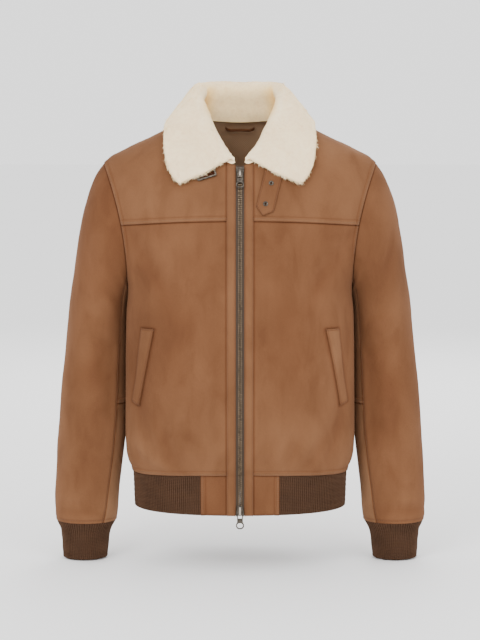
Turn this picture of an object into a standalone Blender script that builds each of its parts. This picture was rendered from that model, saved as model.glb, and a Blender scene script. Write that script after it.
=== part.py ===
# Suede bomber jacket with a fleece collar, hollow and filled out as if it were worn.
# Metres, +Z up. The front faces -Y and +X is the wearer's left.
# Height 0 is the level of the back neck seam, and the wearer's neck stands on the Z axis.
import math

import bmesh
import bpy
import numpy as np
from mathutils import Matrix, Vector
from mathutils.bvhtree import BVHTree
from mathutils.geometry import tessellate_polygon

# cloth
SUEDE = 0.0025
FACING = 0.0014
KNIT = 0.0026
FLEECE = 0.0070
LINING = 0.0010
SEAM_GAP = 0.0003

# heights of the body's seams and edges
HEM = -0.6545
HEM_SEAM = -0.586
HEM_SEAM_DIP = 0.009
ARMPIT = -0.280
YOKE_SEAM = -0.166
YOKE_SEAM_DIP = 0.011
YOKE_HEIGHT = 0.095
SHOULDER_POINT = -0.0735
NECK_POINT = 0.005

# widths across the front, from the middle of the zip
CHAIN_EDGE = 0.0038
TAPE_EDGE = 0.0150
FACING_EDGE = 0.0078
FACING_SEAM = 0.0225
TAB_SEAM = 0.0655
NECK_HALF_WIDTH = 0.085
FRONT_NECK_DEPTH = 0.087
BACK_NECK_DEPTH = 0.070

# lapped seams stand proud in a strip along the edge
LAP_WIDTH = 0.0075
LAP_RISE = 0.0012
LAP_STEP = 0.0020

# knitted ribs
RIB_PITCH = 0.0052
RIB_RISE = 0.0011

# depth of the body in front of and behind the side seams; squareness 2 is an ellipse
BODY_DEPTH = (
    # height, front, back, squareness
    (-0.6545, 0.1205, 0.1060, 2.35),
    (-0.615, 0.1225, 0.1080, 2.35),
    (-0.590, 0.1245, 0.1100, 2.35),
    (-0.572, 0.1325, 0.1170, 2.35),
    (-0.545, 0.1375, 0.1205, 2.35),
    (-0.450, 0.1380, 0.1200, 2.30),
    (-0.350, 0.1380, 0.1220, 2.30),
    (-0.250, 0.1340, 0.1270, 2.30),
    (-0.180, 0.1240, 0.1262, 2.27),
    (-0.140, 0.1140, 0.1228, 2.20),
    (-0.100, 0.0990, 0.1140, 2.14),
    (-0.068, 0.0830, 0.1020, 2.05),
    (-0.045, 0.0710, 0.0940, 2.00),
    (-0.020, 0.0580, 0.0830, 2.00),
    (0.000, 0.0490, 0.0700, 2.00),
    (0.010, 0.0450, 0.0620, 2.00),
)
SIDE_SEAM = (
    # height, half width
    (-0.6545, 0.1802),
    (-0.630, 0.1812),
    (-0.605, 0.1820),
    (-0.592, 0.1835),
    (-0.577, 0.1905),
    (-0.560, 0.1940),
    (-0.530, 0.1954),
    (-0.460, 0.1948),
    (-0.380, 0.1940),
    (-0.320, 0.1924),
    (-0.290, 0.1898),
    (-0.280, 0.1900),
)
SHOULDER_SEAM = (
    # height, half width
    (-0.0735, 0.2290),
    (-0.0625, 0.2180),
    (-0.0520, 0.1978),
    (-0.0420, 0.1784),
    (-0.0320, 0.1557),
    (-0.0215, 0.1346),
    (-0.0110, 0.1140),
    (0.0050, 0.0850),
)
# each sleeve section joins an outer point, on the sleeve's top line, to an inner one
SLEEVE = (
    # station, outer x, outer z, inner x, inner z, centre y, half depth, hollow
    (0, 0.2290, -0.0735, 0.1900, -0.2800, 0.000, 0.0620, 0.012),
    (1, 0.2422, -0.0925, 0.1908, -0.2845, 0.003, 0.0648, 0.009),
    (2, 0.2525, -0.1150, 0.1916, -0.2890, 0.007, 0.0669, 0.006),
    (3, 0.2618, -0.1420, 0.1923, -0.2945, 0.012, 0.0684, 0.003),
    (4, 0.2708, -0.1810, 0.1931, -0.3020, 0.017, 0.0690, 0.001),
    (5, 0.2783, -0.2219, 0.1939, -0.3120, 0.022, 0.0688, 0.000),
    (6, 0.2838, -0.2628, 0.1945, -0.3260, 0.026, 0.0682, 0.000),
    (7, 0.2901, -0.3040, 0.1951, -0.3460, 0.029, 0.0668, 0.000),
    (8, 0.2947, -0.3450, 0.1955, -0.3720, 0.030, 0.0650, 0.000),
    (9, 0.2994, -0.3864, 0.1957, -0.4020, 0.029, 0.0627, 0.000),
    (10, 0.3070, -0.4690, 0.1964, -0.4700, 0.024, 0.0587, 0.000),
    (11, 0.3129, -0.5526, 0.1990, -0.5520, 0.013, 0.0540, 0.000),
    (12, 0.3165, -0.6300, 0.2070, -0.6300, 0.003, 0.0505, 0.000),
    (13, 0.3175, -0.6640, 0.2092, -0.6640, 0.000, 0.0495, 0.000),
    (14, 0.3150, -0.6830, 0.2118, -0.6830, 0.000, 0.0475, 0.000),
)
SLEEVE_END = 14
ELBOW_SEAM = 10.15
# stations at which the sleeve's grid has a row
SLEEVE_STATIONS = (0, 0.6, 1.4, 2.3, 3.2, 4.2, 5.3, 6.4, 7.6, 8.6, 9.3, 10.15, 10.9, 11.8, 12.7, 13.4, 14)
# where the under sleeve starts, as a turn from the sleeve's top line, at each station
SLEEVE_SEAM = (
    # station, degrees
    (0, 152),
    (7, 146),
    (10, 140),
    (14, 127),
)
CUFF = (
    # height, outer x, inner x, half depth
    (-0.7475, 0.3040, 0.2280, 0.0350),
    (-0.7020, 0.3070, 0.2225, 0.0385),
    (-0.6833, 0.3140, 0.2128, 0.0463),
)
# the fold is the middle of the roll, and the edge is where the leaf ends over the body, seen from above
COLLAR = (
    # neck angle, fold x, fold y, fold z, edge x, edge y, bulge, fold radius
    (9, 0.0155, -0.0890, -0.0715, 0.1010, -0.0945, 0.003, 0.0070),
    (25, 0.0370, -0.0740, -0.0450, 0.1130, -0.0850, 0.005, 0.0080),
    (45, 0.0540, -0.0520, -0.0130, 0.1200, -0.0745, 0.004, 0.0090),
    (65, 0.0640, -0.0290, 0.0110, 0.1240, -0.0510, 0.003, 0.0090),
    (90, 0.0735, 0.0050, 0.0360, 0.1185, -0.0050, 0.002, 0.0090),
    (120, 0.0690, 0.0330, 0.0480, 0.0970, 0.0480, 0.002, 0.0090),
    (150, 0.0400, 0.0540, 0.0510, 0.0590, 0.0750, 0.006, 0.0090),
    (166, 0.0190, 0.0598, 0.0515, 0.0280, 0.0822, 0.006, 0.0090),
    (180, 0.0000, 0.0615, 0.0515, 0.0000, 0.0842, 0.006, 0.0090),
)
LEAF_LIFT = 0.0078
# pockets: corners of the welt as x and height, clockwise from the top outer one
POCKET_WELT = ((0.1630, -0.3450), (0.1415, -0.3450), (0.1690, -0.4760), (0.1810, -0.4700))
WELT_LIFT = 0.0004
WELT_THICKNESS = 0.0022
# throat strap on the wearer's left, from its pointed end up to where it is sewn under the collar
STRAP = ((0.0373, -0.1575), (0.0263, -0.1424), (0.0430, -0.0740), (0.0725, -0.0830), (0.0552, -0.1502))
STRAP_THICKNESS = 0.0024
STRAP_LIFT = 0.0005
EYELETS = ((0.0510, -0.1055), (0.0417, -0.1386))
EYELET_RADIUS = 0.0042
EYELET_HOLE = 0.0019
# throat buckle on the wearer's right: the middle of the frame, and how it is turned
BUCKLE_PLACE = (-0.0562, -0.0898)
BUCKLE_TURN = 17
BUCKLE_WIDTH = 0.0330
BUCKLE_HEIGHT = 0.0190
BUCKLE_WIRE = 0.0024
BUCKLE_LIFT = 0.0031
# zip sliders and pulls
SLIDER_TOP = -0.0868
SLIDER_BOTTOM = -0.6460
SLIDER_LENGTH = 0.0180
SLIDER_WIDTH = 0.0135
SLIDER_THICKNESS = 0.0018
BRIDGE_WIDTH = 0.0034
BRIDGE_LENGTH = 0.0150
BRIDGE_RISE = 0.0044
BRIDGE_THICKNESS = 0.0012
PULL_THICKNESS = 0.0010
PULL_HINGE = 0.0048
# hanger loop inside the back neck
HANGER_HALF = 0.0250
HANGER_HEIGHT = -0.0125
HANGER_WIDTH = 0.0055
HANGER_THICKNESS = 0.0014
HANGER_REACH = 0.0065
# numbers of rows and columns in the grids of the front
PANEL_ROWS = (8, 5)
YOKE_GRID = (8, 8)
BACK_GRID = (7, 4, 6, 10)
BACK_NECK_SHARE = 0.4
# soft folds: a gentle trough or ridge at a place on the front or back, in its own direction
FRONT_FOLDS = (
    # side, x, height, lean in degrees, length, width, rise
    (-1, 0.120, -0.545, -18, 0.050, 0.0120, -0.0040),
    (-1, 0.150, -0.560, -50, 0.045, 0.0100, 0.0030),
    (1, 0.130, -0.550, 35, 0.050, 0.0120, -0.0035),
    (1, 0.165, -0.520, 12, 0.070, 0.0130, -0.0030),
    (-1, 0.175, -0.430, -8, 0.110, 0.0140, -0.0030),
    (1, 0.178, -0.400, 8, 0.120, 0.0140, -0.0030),
    (-1, 0.155, -0.235, -35, 0.080, 0.0160, -0.0035),
    (1, 0.152, -0.240, 35, 0.080, 0.0160, -0.0035),
    (-1, 0.085, -0.330, 12, 0.120, 0.0220, -0.0025),
    (1, 0.080, -0.360, -10, 0.130, 0.0220, -0.0025),
)
BACK_FOLDS = (
    # side, x, height, lean in degrees, length, width, rise
    (-1, 0.130, -0.535, -25, 0.070, 0.0140, -0.0040),
    (1, 0.120, -0.545, 22, 0.060, 0.0140, -0.0040),
    (-1, 0.060, -0.540, -10, 0.060, 0.0160, -0.0030),
    (1, 0.045, -0.530, 12, 0.070, 0.0160, -0.0030),
    (-1, 0.150, -0.250, -40, 0.090, 0.0180, -0.0040),
    (1, 0.152, -0.245, 38, 0.090, 0.0180, -0.0040),
)
SLEEVE_FOLDS = (
    # side, station, turn in degrees, station length, turn width, rise
    (-1, 8.7, 120, 0.45, 40, -0.0045),
    (-1, 9.5, 105, 0.40, 48, -0.0050),
    (-1, 10.3, 125, 0.40, 42, -0.0045),
    (-1, 5.0, 60, 1.10, 26, -0.0030),
    (-1, 13.0, 70, 0.35, 60, -0.0030),
    (1, 8.9, 118, 0.45, 44, -0.0045),
    (1, 9.8, 102, 0.40, 46, -0.0050),
    (1, 10.7, 128, 0.40, 40, -0.0045),
    (1, 4.6, 64, 1.10, 26, -0.0030),
    (1, 12.9, 60, 0.35, 60, -0.0030),
    (-1, 9.3, 215, 0.45, 34, -0.0040),
    (1, 9.5, 218, 0.45, 34, -0.0040),
    (-1, 10.6, 225, 0.40, 30, -0.0035),
    (1, 10.9, 228, 0.40, 30, -0.0035),
)


# curves through the tables
def curve(table, column, at):
    # a smooth line through one column of a table that never overshoots its rows
    rows = np.array(table, float)
    xs, ys = rows[:, 0], rows[:, column]
    steps = np.diff(xs)
    slopes = np.diff(ys) / steps
    turns = np.zeros(len(xs))
    turns[0], turns[-1] = slopes[0], slopes[-1]
    same_way = slopes[:-1] * slopes[1:] > 0
    both = slopes[:-1] + slopes[1:]
    turns[1:-1] = np.where(same_way, 2 * slopes[:-1] * slopes[1:] / np.where(both == 0, 1, both), 0)
    at = np.clip(np.asarray(at, float), xs[0], xs[-1])
    cell = np.clip(np.searchsorted(xs, at) - 1, 0, len(xs) - 2)
    step = steps[cell]
    t = (at - xs[cell]) / step
    start = ys[cell] * (2 * t**3 - 3 * t**2 + 1) + turns[cell] * step * (t**3 - 2 * t**2 + t)
    end = ys[cell + 1] * (3 * t**2 - 2 * t**3) + turns[cell + 1] * step * (t**3 - t**2)
    return start + end


def unit(vectors):
    return vectors / np.maximum(np.linalg.norm(vectors, axis=-1, keepdims=True), 1e-12)


def steps_between(start, end, count):
    return np.linspace(start, end, count + 1)


# the body's form
ARMHOLE_MIDDLE = (SHOULDER_POINT + ARMPIT) / 2
ARMHOLE_REACH = (SHOULDER_POINT - ARMPIT) / 2
ARMHOLE_X = (SLEEVE[0][1] + SLEEVE[0][3]) / 2
ARMHOLE_LEAN = (SLEEVE[0][1] - SLEEVE[0][3]) / 2
ARMHOLE_DEPTH = SLEEVE[0][6]
ARMHOLE_HOLLOW = SLEEVE[0][7]
FRONT, BACK = -1, 1


def armhole_turn(height):
    # angle round the armhole from its top to a height
    return np.arccos(np.clip((height - ARMHOLE_MIDDLE) / ARMHOLE_REACH, -1, 1))


def body_edge(height):
    # how far the front and back reach at a height: to the side seam, the armhole or the shoulder seam
    turn = armhole_turn(height)
    armhole_x = ARMHOLE_X + ARMHOLE_LEAN * np.cos(turn) - ARMHOLE_HOLLOW * np.sin(turn) ** 2
    x = np.where(height < ARMPIT, curve(SIDE_SEAM, 1, height), armhole_x)
    x = np.where(height > SHOULDER_POINT, curve(SHOULDER_SEAM, 1, height), x)
    return x, ARMHOLE_DEPTH * np.sin(turn)


def body_section(height, face):
    # half width, depth and squareness of the section at a height
    depth = curve(BODY_DEPTH, 1 if face == FRONT else 2, height)
    square = curve(BODY_DEPTH, 3, height)
    edge_x, edge_y = body_edge(height)
    share = np.clip(edge_y / depth, 0, 0.98) ** square
    return edge_x / (1 - share) ** (1 / square), depth, square


def body_point(x, height, face):
    # x may be on either side
    half_width, depth, square = body_section(height, face)
    share = np.clip(np.abs(x) / half_width, 0, 1) ** square
    y = face * depth * (1 - share) ** (1 / square)
    return np.stack(np.broadcast_arrays(x, y, height), axis=-1)


def body_x(share, height, face, start=0.0):
    # x at a share of the way round from a line at x = start to the edge
    half_width, depth, square = body_section(height, face)
    _, edge_y = body_edge(height)
    end_angle = np.arccos(np.clip(edge_y / depth, 0, 1) ** (square / 2))
    start_angle = np.arcsin(np.clip(start / half_width, 0, 1) ** (square / 2))
    return half_width * np.sin(start_angle + share * (end_angle - start_angle)) ** (2 / square)


def body_out(points, face):
    # the way out from the body's form, the same on both sides of each seam
    def inside(x, y, z):
        half_width, depth, square = body_section(z, face)
        return (np.abs(x) / half_width) ** square + (np.abs(y) / depth) ** square

    x, y, z = points[..., 0], points[..., 1], points[..., 2]
    nudge = 0.0004
    z = np.clip(z, HEM + nudge, NECK_POINT - nudge)
    half_width, depth, square = body_section(z, face)
    away = np.stack(
        (
            np.sign(x) * square * np.abs(x) ** (square - 1) / half_width**square,
            np.sign(y) * square * np.abs(y) ** (square - 1) / depth**square,
            (inside(x, y, z + nudge) - inside(x, y, z - nudge)) / (2 * nudge),
        ),
        axis=-1,
    )
    return unit(away)


def body_height(x, y, face):
    # the height at which the form passes through a place seen from above
    low = np.full(np.shape(x), -0.16)
    high = np.full(np.shape(x), NECK_POINT)
    for _ in range(40):
        middle = (low + high) / 2
        half_width, depth, square = body_section(middle, face)
        outside = (np.abs(x) / half_width) ** square + (np.abs(y) / depth) ** square > 1
        high = np.where(outside, middle, high)
        low = np.where(outside, low, middle)
    return (low + high) / 2


def shared_at_armhole(points, out, face):
    # along the armhole the body takes the direction that it shares with the sleeve
    height = points[:, -1, 2]
    turn = -face * np.degrees(armhole_turn(height))
    along = (height >= ARMPIT - 1e-6)[:, None]
    out[:, -1] = np.where(along, armhole_out(turn)[1], out[:, -1])
    return out


def lap_at_armhole(points):
    # the rise of the body beside the armhole
    distance = np.linalg.norm(points - points[:, -1:], axis=-1)
    return lap(distance) * np.clip((points[..., 2] - ARMPIT - 0.045) / 0.03, 0, 1)


def folds_at(table, points):
    # how far the soft folds move a place on the front or back, seen from straight ahead
    moved = np.zeros(points.shape[:-1])
    for side, x, height, lean, length, width, rise in table:
        along = np.array((math.sin(math.radians(lean)), math.cos(math.radians(lean))))
        offset = points[..., [0, 2]] - np.array((side * x, height))
        forward = offset @ along
        across = offset @ np.array((along[1], -along[0]))
        moved = moved + rise * np.exp(-((forward / length) ** 2) - (across / width) ** 2)
    return moved


def lap(distance):
    # the rise of a lapped seam at a distance from the edge
    return LAP_RISE * np.clip((LAP_WIDTH + LAP_STEP - distance) / LAP_STEP, 0, 1)


# solids
def new_object(name, mesh, material):
    mesh.materials.append(material)
    thing = bpy.data.objects.new(name, mesh)
    bpy.context.scene.collection.objects.link(thing)
    return thing


def mesh_of(name, points, faces, material, smooth=True):
    mesh = bpy.data.meshes.new(name)
    built = bmesh.new()
    corners = [built.verts.new(point) for point in points]
    for face in faces:
        built.faces.new([corners[i] for i in face])
    bmesh.ops.recalc_face_normals(built, faces=built.faces)
    built.to_mesh(mesh)
    built.free()
    if smooth:
        mesh.shade_smooth()
        mesh.set_sharp_from_angle(angle=math.radians(40))
    return new_object(name, mesh, material)


def wall(name, outer, inner, material, ring=False):
    # a closed wall between two grids of points; a ring joins its last column to its first
    rows, columns = outer.shape[:2]
    points = np.concatenate((outer.reshape(-1, 3), inner.reshape(-1, 3)))
    inside = rows * columns
    faces = []
    spans = columns if ring else columns - 1
    for i in range(rows - 1):
        for j in range(spans):
            a, b = i * columns + j, i * columns + (j + 1) % columns
            c, d = b + columns, a + columns
            faces.extend(((a, b, c), (a, c, d)))
            faces.extend(((inside + c, inside + b, inside + a), (inside + d, inside + c, inside + a)))
    for j in range(spans):
        for i in (0, rows - 1):
            a, b = i * columns + j, i * columns + (j + 1) % columns
            faces.append((a, b, inside + b, inside + a))
    if not ring:
        for i in range(rows - 1):
            for j in (0, columns - 1):
                a, b = i * columns + j, (i + 1) * columns + j
                faces.append((a, b, inside + b, inside + a))
    return mesh_of(name, points, faces, material)


def trimmed(grid, ring=False):
    # the grid with each edge drawn in by half a seam gap
    cut = grid.copy()
    for edge, neighbour in ((0, 1), (-1, -2)):
        cut[edge] += unit(grid[neighbour] - grid[edge]) * SEAM_GAP / 2
        if not ring:
            cut[:, edge] += unit(grid[:, neighbour] - grid[:, edge]) * SEAM_GAP / 2
    return cut


def panel(name, points, out, thickness, material, rise=0.0, ring=False):
    # a wall whose outer side is the form and whose inside is plain
    outer = points + out * np.asarray(rise)[..., None]
    inner = points - out * thickness
    return wall(name, trimmed(outer, ring), trimmed(inner, ring), material, ring)


def loft(name, sections, material, smooth=True):
    # a solid through closed sections of the same number of points, with flat ends
    count = len(sections[0])
    points = np.concatenate(sections)
    faces = [tuple(range(count)), tuple(range(len(points) - count, len(points)))]
    for k in range(len(sections) - 1):
        for j in range(count):
            a, b = k * count + j, k * count + (j + 1) % count
            faces.append((a, b, b + count, a + count))
    return mesh_of(name, points, faces, material, smooth)


def plate(name, outlines, thickness, material, place):
    # a flat plate standing in the plane of x and z: the first outline is its edge, the others are holes
    triangles = tessellate_polygon([[Vector((x, z, 0)) for x, z in outline] for outline in outlines])
    flat = [(x, z) for outline in outlines for x, z in outline]
    count = len(flat)
    points = [place @ Vector((x, y, z)) for y in (-thickness / 2, thickness / 2) for x, z in flat]
    faces = [tuple(triangle) for triangle in triangles]
    faces += [tuple(i + count for i in triangle) for triangle in triangles]
    start = 0
    for outline in outlines:
        for i in range(len(outline)):
            a, b = start + i, start + (i + 1) % len(outline)
            faces.append((a, b, b + count, a + count))
        start += len(outline)
    return mesh_of(name, points, faces, material)


def round_corners(corners, radius, steps=3):
    # an outline with each corner rounded
    points = []
    count = len(corners)
    for i in range(count):
        corner = Vector(corners[i])
        before = (Vector(corners[i - 1]) - corner).normalized()
        after = (Vector(corners[(i + 1) % count]) - corner).normalized()
        reach = radius / math.tan(before.angle(after) / 2)
        start, end = corner + before * reach, corner + after * reach
        for k in range(steps + 1):
            t = k / steps
            points.append(tuple((1 - t) ** 2 * start + 2 * t * (1 - t) * corner + t**2 * end))
    return points


def joined(thing, helper, operation="UNION"):
    helper.hide_render = True
    helper.display_type = "WIRE"
    change = thing.modifiers.new(operation.title(), "BOOLEAN")
    change.operation = operation
    change.object = helper
    return thing


def finish(name, colour, roughness, metallic=0.0):
    material = bpy.data.materials.new(name)
    material.use_nodes = True
    shader = material.node_tree.nodes["Principled BSDF"]
    shader.inputs["Base Color"].default_value = (*colour, 1)
    shader.inputs["Roughness"].default_value = roughness
    shader.inputs["Metallic"].default_value = metallic
    material.diffuse_color = (*colour, 1)
    return material


# rows of the body
def seam_height(x, face):
    # the hem seam dips from the middle of the front to the sides
    share = np.clip(np.abs(x) / SIDE_SEAM[3][1], 0, 1)
    dip = HEM_SEAM_DIP * (share**2 if face == FRONT else 1.0)
    return HEM_SEAM - dip


def lower_rows(bottom, top, lap_at_bottom, count_low, count_high):
    # heights from one seam up to another, denser at the armpit, with lines for the lap
    laps = [bottom + LAP_WIDTH, bottom + LAP_WIDTH + LAP_STEP] if lap_at_bottom else []
    start = laps[-1] if laps else bottom
    low = steps_between(start, ARMPIT, count_low)
    turns = steps_between(math.pi, armhole_turn(top), count_high)[1:]
    high = ARMHOLE_MIDDLE + ARMHOLE_REACH * np.cos(turns)
    return np.concatenate(([bottom], laps[:-1], low, high))


def across_steps(count, lap_at_end, width):
    # shares of the way across a panel, with lines for the lap beside the armhole
    if not lap_at_end:
        return steps_between(0, 1, count)
    laps = [1 - (LAP_WIDTH + LAP_STEP) / width, 1 - LAP_WIDTH / width, 1]
    return np.concatenate((steps_between(0, laps[0], count)[:-1], laps))


def coons(bottom, top, left, right, easing):
    # a patch between four lines of places; easing is how far up each row lies
    columns, rows = len(bottom), len(left)
    u = np.linspace(0, 1, columns)[None, :, None]
    w = easing[:, None, None]
    between = (1 - w) * bottom[None] + w * top[None] + (1 - u) * left[:, None] + u * right[:, None]
    corners = (1 - u) * (1 - w) * bottom[0] + u * (1 - w) * bottom[-1]
    corners = corners + (1 - u) * w * top[0] + u * w * top[-1]
    return (between - corners).reshape(rows, columns, 2)


def neckline(angle):
    # the neck seam: angle 0 is the middle of the front, 180 the middle of the back
    turn = np.radians(angle)
    x = NECK_HALF_WIDTH * np.sin(turn)
    depth = np.where(np.cos(turn) > 0, FRONT_NECK_DEPTH, BACK_NECK_DEPTH)
    y = -depth * np.cos(turn)
    front = body_height(x, y, FRONT)
    back = body_height(x, y, BACK)
    return np.stack((x, y, np.where(np.cos(turn) > 0, front, back)), axis=-1)


def sided(points, side):
    return points * np.array((side, 1, 1))


def place_on_front(x, height, out=0.0):
    # a frame on the front: X across, -Y out of the cloth, Z up along it
    point = body_point(np.array(abs(x)), np.array(height), FRONT)
    way_out = body_out(point[None], FRONT)[0]
    if x < 0:
        point, way_out = sided(point, -1), sided(way_out, -1)
    inward = Vector(-way_out)
    across = Vector((1, 0, 0))
    across = (across - across.dot(inward) * inward).normalized()
    up = across.cross(inward)
    place = Matrix((across, inward, up)).transposed().to_4x4()
    place.translation = Vector(point) + out * Vector(way_out)
    return place


# the body's panels
def panel_grid():
    # points of the front panel on the wearer's left, its shares across and its rows
    shares = across_steps(9, True, 0.20)
    rows = lower_rows(HEM_SEAM, YOKE_SEAM, True, *PANEL_ROWS)
    height = rows[:, None] + np.zeros((1, len(shares)))
    for _ in range(4):
        x = body_x(shares[None, :], height, FRONT, FACING_SEAM)
        lift = (rows[:, None] - HEM_SEAM) / (YOKE_SEAM - HEM_SEAM)
        yoke_dip = YOKE_SEAM_DIP * np.clip(x / ARMHOLE_X, 0, 1) ** 2
        hem_dip = HEM_SEAM - seam_height(x, FRONT)
        near_top = np.clip((rows[:, None] - ARMPIT) / (YOKE_SEAM - ARMPIT), 0, 1)
        near_hem = np.clip(1 - lift / 0.35, 0, 1)
        height = rows[:, None] - hem_dip * near_hem - yoke_dip * near_top
    return body_point(x, height, FRONT), shares, rows


def front_panel(name, side, material):
    points, shares, rows = panel_grid()
    out = shared_at_armhole(points, body_out(points, FRONT), FRONT)
    rise = np.maximum(lap(rows - HEM_SEAM)[:, None], lap_at_armhole(points))
    points, out = sided(points, side), sided(out, side)
    moved = folds_at(FRONT_FOLDS, points) * fade(shares, rows)
    return panel(name, points + out * moved[..., None], out, SUEDE, material, rise)


def fade(shares, rows):
    # folds die out at the seams
    across = np.clip(np.minimum(shares, 1 - shares) / 0.10, 0, 1)
    up = np.clip(np.minimum(rows - rows[0], rows[-1] - rows) / 0.015, 0, 1)
    return up[:, None] * across[None, :]


def yoke_places(count_across, count_up, lapped=True):
    # places of the front yoke seen from straight ahead
    shares = across_steps(count_across, lapped, 0.19)
    bottom_height = YOKE_SEAM + np.zeros(len(shares))
    for _ in range(3):
        bottom_x = body_x(shares, bottom_height, FRONT, FACING_SEAM)
        bottom_height = YOKE_SEAM - YOKE_SEAM_DIP * np.clip(bottom_x / ARMHOLE_X, 0, 1) ** 2
    laps = 1 - np.sqrt(1 - np.array((0, LAP_WIDTH, LAP_WIDTH + LAP_STEP)) / YOKE_HEIGHT)
    climbs = np.concatenate((laps[:-1], steps_between(laps[-1], 1, count_up)))
    easing = 1 - (1 - climbs) ** 2
    turns = armhole_turn(bottom_height[-1]) * (1 - climbs)
    right_height = ARMHOLE_MIDDLE + ARMHOLE_REACH * np.cos(turns)
    right = np.stack((body_edge(right_height)[0], right_height), axis=-1)
    # the left side climbs the facing and then follows the neckline
    neck_start = math.degrees(math.asin(FACING_SEAM / NECK_HALF_WIDTH))
    neck_bottom = neckline(np.array([neck_start]))[0, 2]
    straight = climbs[np.argmin(np.abs(climbs - 0.42))]
    angles = neck_start + (90 - neck_start) * np.clip((climbs - straight) / (1 - straight), 0, 1)
    along_neck = neckline(angles)
    climb = np.clip(climbs / straight, 0, 1)
    left_height = np.where(climbs < straight, YOKE_SEAM + (neck_bottom - YOKE_SEAM) * climb, along_neck[:, 2])
    left = np.stack((np.where(climbs < straight, FACING_SEAM, along_neck[:, 0]), left_height), axis=-1)
    left[0] = (bottom_x[0], bottom_height[0])
    top_height = NECK_POINT + (SHOULDER_POINT - NECK_POINT) * np.linspace(0, 1, len(shares))
    top = np.stack((body_edge(top_height + 1e-9)[0], top_height), axis=-1)
    top[-1] = right[-1]
    bottom = np.stack((bottom_x, bottom_height), axis=-1)
    return coons(bottom, top, left, right, easing), climbs


def front_rows():
    # heights along the middle of the front, one for each row of the tab, the panel and the yoke
    tab = steps_between(HEM, HEM_SEAM, 3)
    panel_rows = lower_rows(HEM_SEAM, YOKE_SEAM, True, *PANEL_ROWS)
    yoke = yoke_places(*YOKE_GRID)[0][:, 0, 1]
    top = neckline(np.array([0.0]))[0, 2]
    return np.concatenate((tab[:-1], panel_rows[:-1], yoke[yoke < top - 0.004], [top]))


def front_yoke(name, side, material):
    places, climbs = yoke_places(*YOKE_GRID)
    x, height = places[..., 0], places[..., 1]
    points = body_point(x, height, FRONT)
    out = shared_at_armhole(points, body_out(points, FRONT), FRONT)
    above_seam = (1 - (1 - climbs) ** 2) * YOKE_HEIGHT
    rise = np.maximum(lap(above_seam)[:, None], lap_at_armhole(points) * (climbs < 0.97)[:, None])
    return panel(name, sided(points, side), sided(out, side), SUEDE, material, rise)


def back_places(count_low, count_mid, count_up, count_across):
    # one half of the back from its middle to the edge, hem seam to neck, seen from straight ahead
    shares = steps_between(0, 1, count_across)
    rows = lower_rows(HEM_SEAM - HEM_SEAM_DIP, ARMHOLE_MIDDLE, True, count_low, count_mid)
    low_height = rows[:, None] + np.zeros((1, len(shares)))
    low = np.stack((body_x(shares[None, :], low_height, BACK), low_height), axis=-1)
    climbs = steps_between(0, 1, count_up)
    easing = 1 - (1 - climbs) ** 2
    turns = math.pi / 2 * (1 - climbs)
    right_height = ARMHOLE_MIDDLE + ARMHOLE_REACH * np.cos(turns)
    right = np.stack((body_edge(right_height)[0], right_height), axis=-1)
    left = np.stack((np.zeros(len(climbs)), ARMHOLE_MIDDLE * (1 - easing)), axis=-1)
    neck_share = BACK_NECK_SHARE
    angles = 180 - 90 * np.clip(shares / neck_share, 0, 1)
    neck = neckline(angles)
    slope = np.clip((shares - neck_share) / (1 - neck_share), 0, 1)
    top_height = NECK_POINT + (SHOULDER_POINT - NECK_POINT) * slope
    on_neck = shares <= neck_share + 1e-9
    top_x = np.where(on_neck, neck[:, 0], body_edge(top_height + 1e-9)[0])
    top = np.stack((top_x, np.where(on_neck, neck[:, 2], top_height)), axis=-1)
    top[-1] = right[-1]
    left[-1] = top[0]
    high = coons(low[-1], top, left, right, easing)
    return np.concatenate((low, high[1:])), rows


def whole_back(half):
    # both halves in one grid, from the wearer's right to the left
    return np.concatenate((sided(half[:, :0:-1], -1), half), axis=1)


def back_form():
    # points of the whole back with its soft folds, the way out at each, and the rows below the armhole's middle
    half, rows = back_places(*BACK_GRID)
    points = body_point(half[..., 0], half[..., 1], BACK)
    out = shared_at_armhole(points, body_out(points, BACK), BACK)
    points, out = whole_back(points), whole_back(out)
    above_hem = np.clip((points[..., 2] - rows[0]) / 0.015, 0, 1)
    from_side = np.clip((body_edge(points[..., 2])[0] - np.abs(points[..., 0])) / 0.012, 0, 1)
    below_top = np.clip((-0.05 - points[..., 2]) / 0.03, 0, 1)
    moved = folds_at(BACK_FOLDS, points) * above_hem * from_side * below_top
    return points + out * moved[..., None], out, rows


def back_panel(name, material):
    points, out, rows = back_form()
    return panel(name, points, out, SUEDE, material, lap(points[..., 2] - rows[0]))


def back_lining(name, material):
    # the inside of the back that shows through the neck
    points, out, rows = back_form()
    start = len(rows) - 1
    points, out = points[start:-1, 1:-1], out[start:-1, 1:-1]
    return panel(name, points - out * (SUEDE + SEAM_GAP), out, LINING, material)


def front_strip(name, side, start, end, low, depth, thickness, material):
    # a narrow strip up the front beside the zip, at a depth below the body's form
    rows = front_rows()
    rows = np.concatenate(([low], rows[rows > low + 1e-6]))
    x = np.array((start, end))[None, :] + np.zeros((len(rows), 1))
    height = rows[:, None] + np.zeros(x.shape)
    height[-1] = neckline(np.degrees(np.arcsin(x[-1] / NECK_HALF_WIDTH)))[:, 2] - SEAM_GAP
    points = body_point(x, height, FRONT)
    out = body_out(points, FRONT)
    points = points - out * depth
    return panel(name, sided(points, side), sided(out, side), thickness, material)


def hem_tab(name, side, material):
    shares = steps_between(0, 1, 4)
    x = (FACING_SEAM + shares * (TAB_SEAM - FACING_SEAM))[None, :]
    climbs = steps_between(0, 1, 3)[:, None]
    height = HEM + (seam_height(x, FRONT) - HEM) * climbs
    points = body_point(x + np.zeros(height.shape), height, FRONT)
    out = body_out(points, FRONT)
    return panel(name, sided(points, side), sided(out, side), SUEDE, material)


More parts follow.
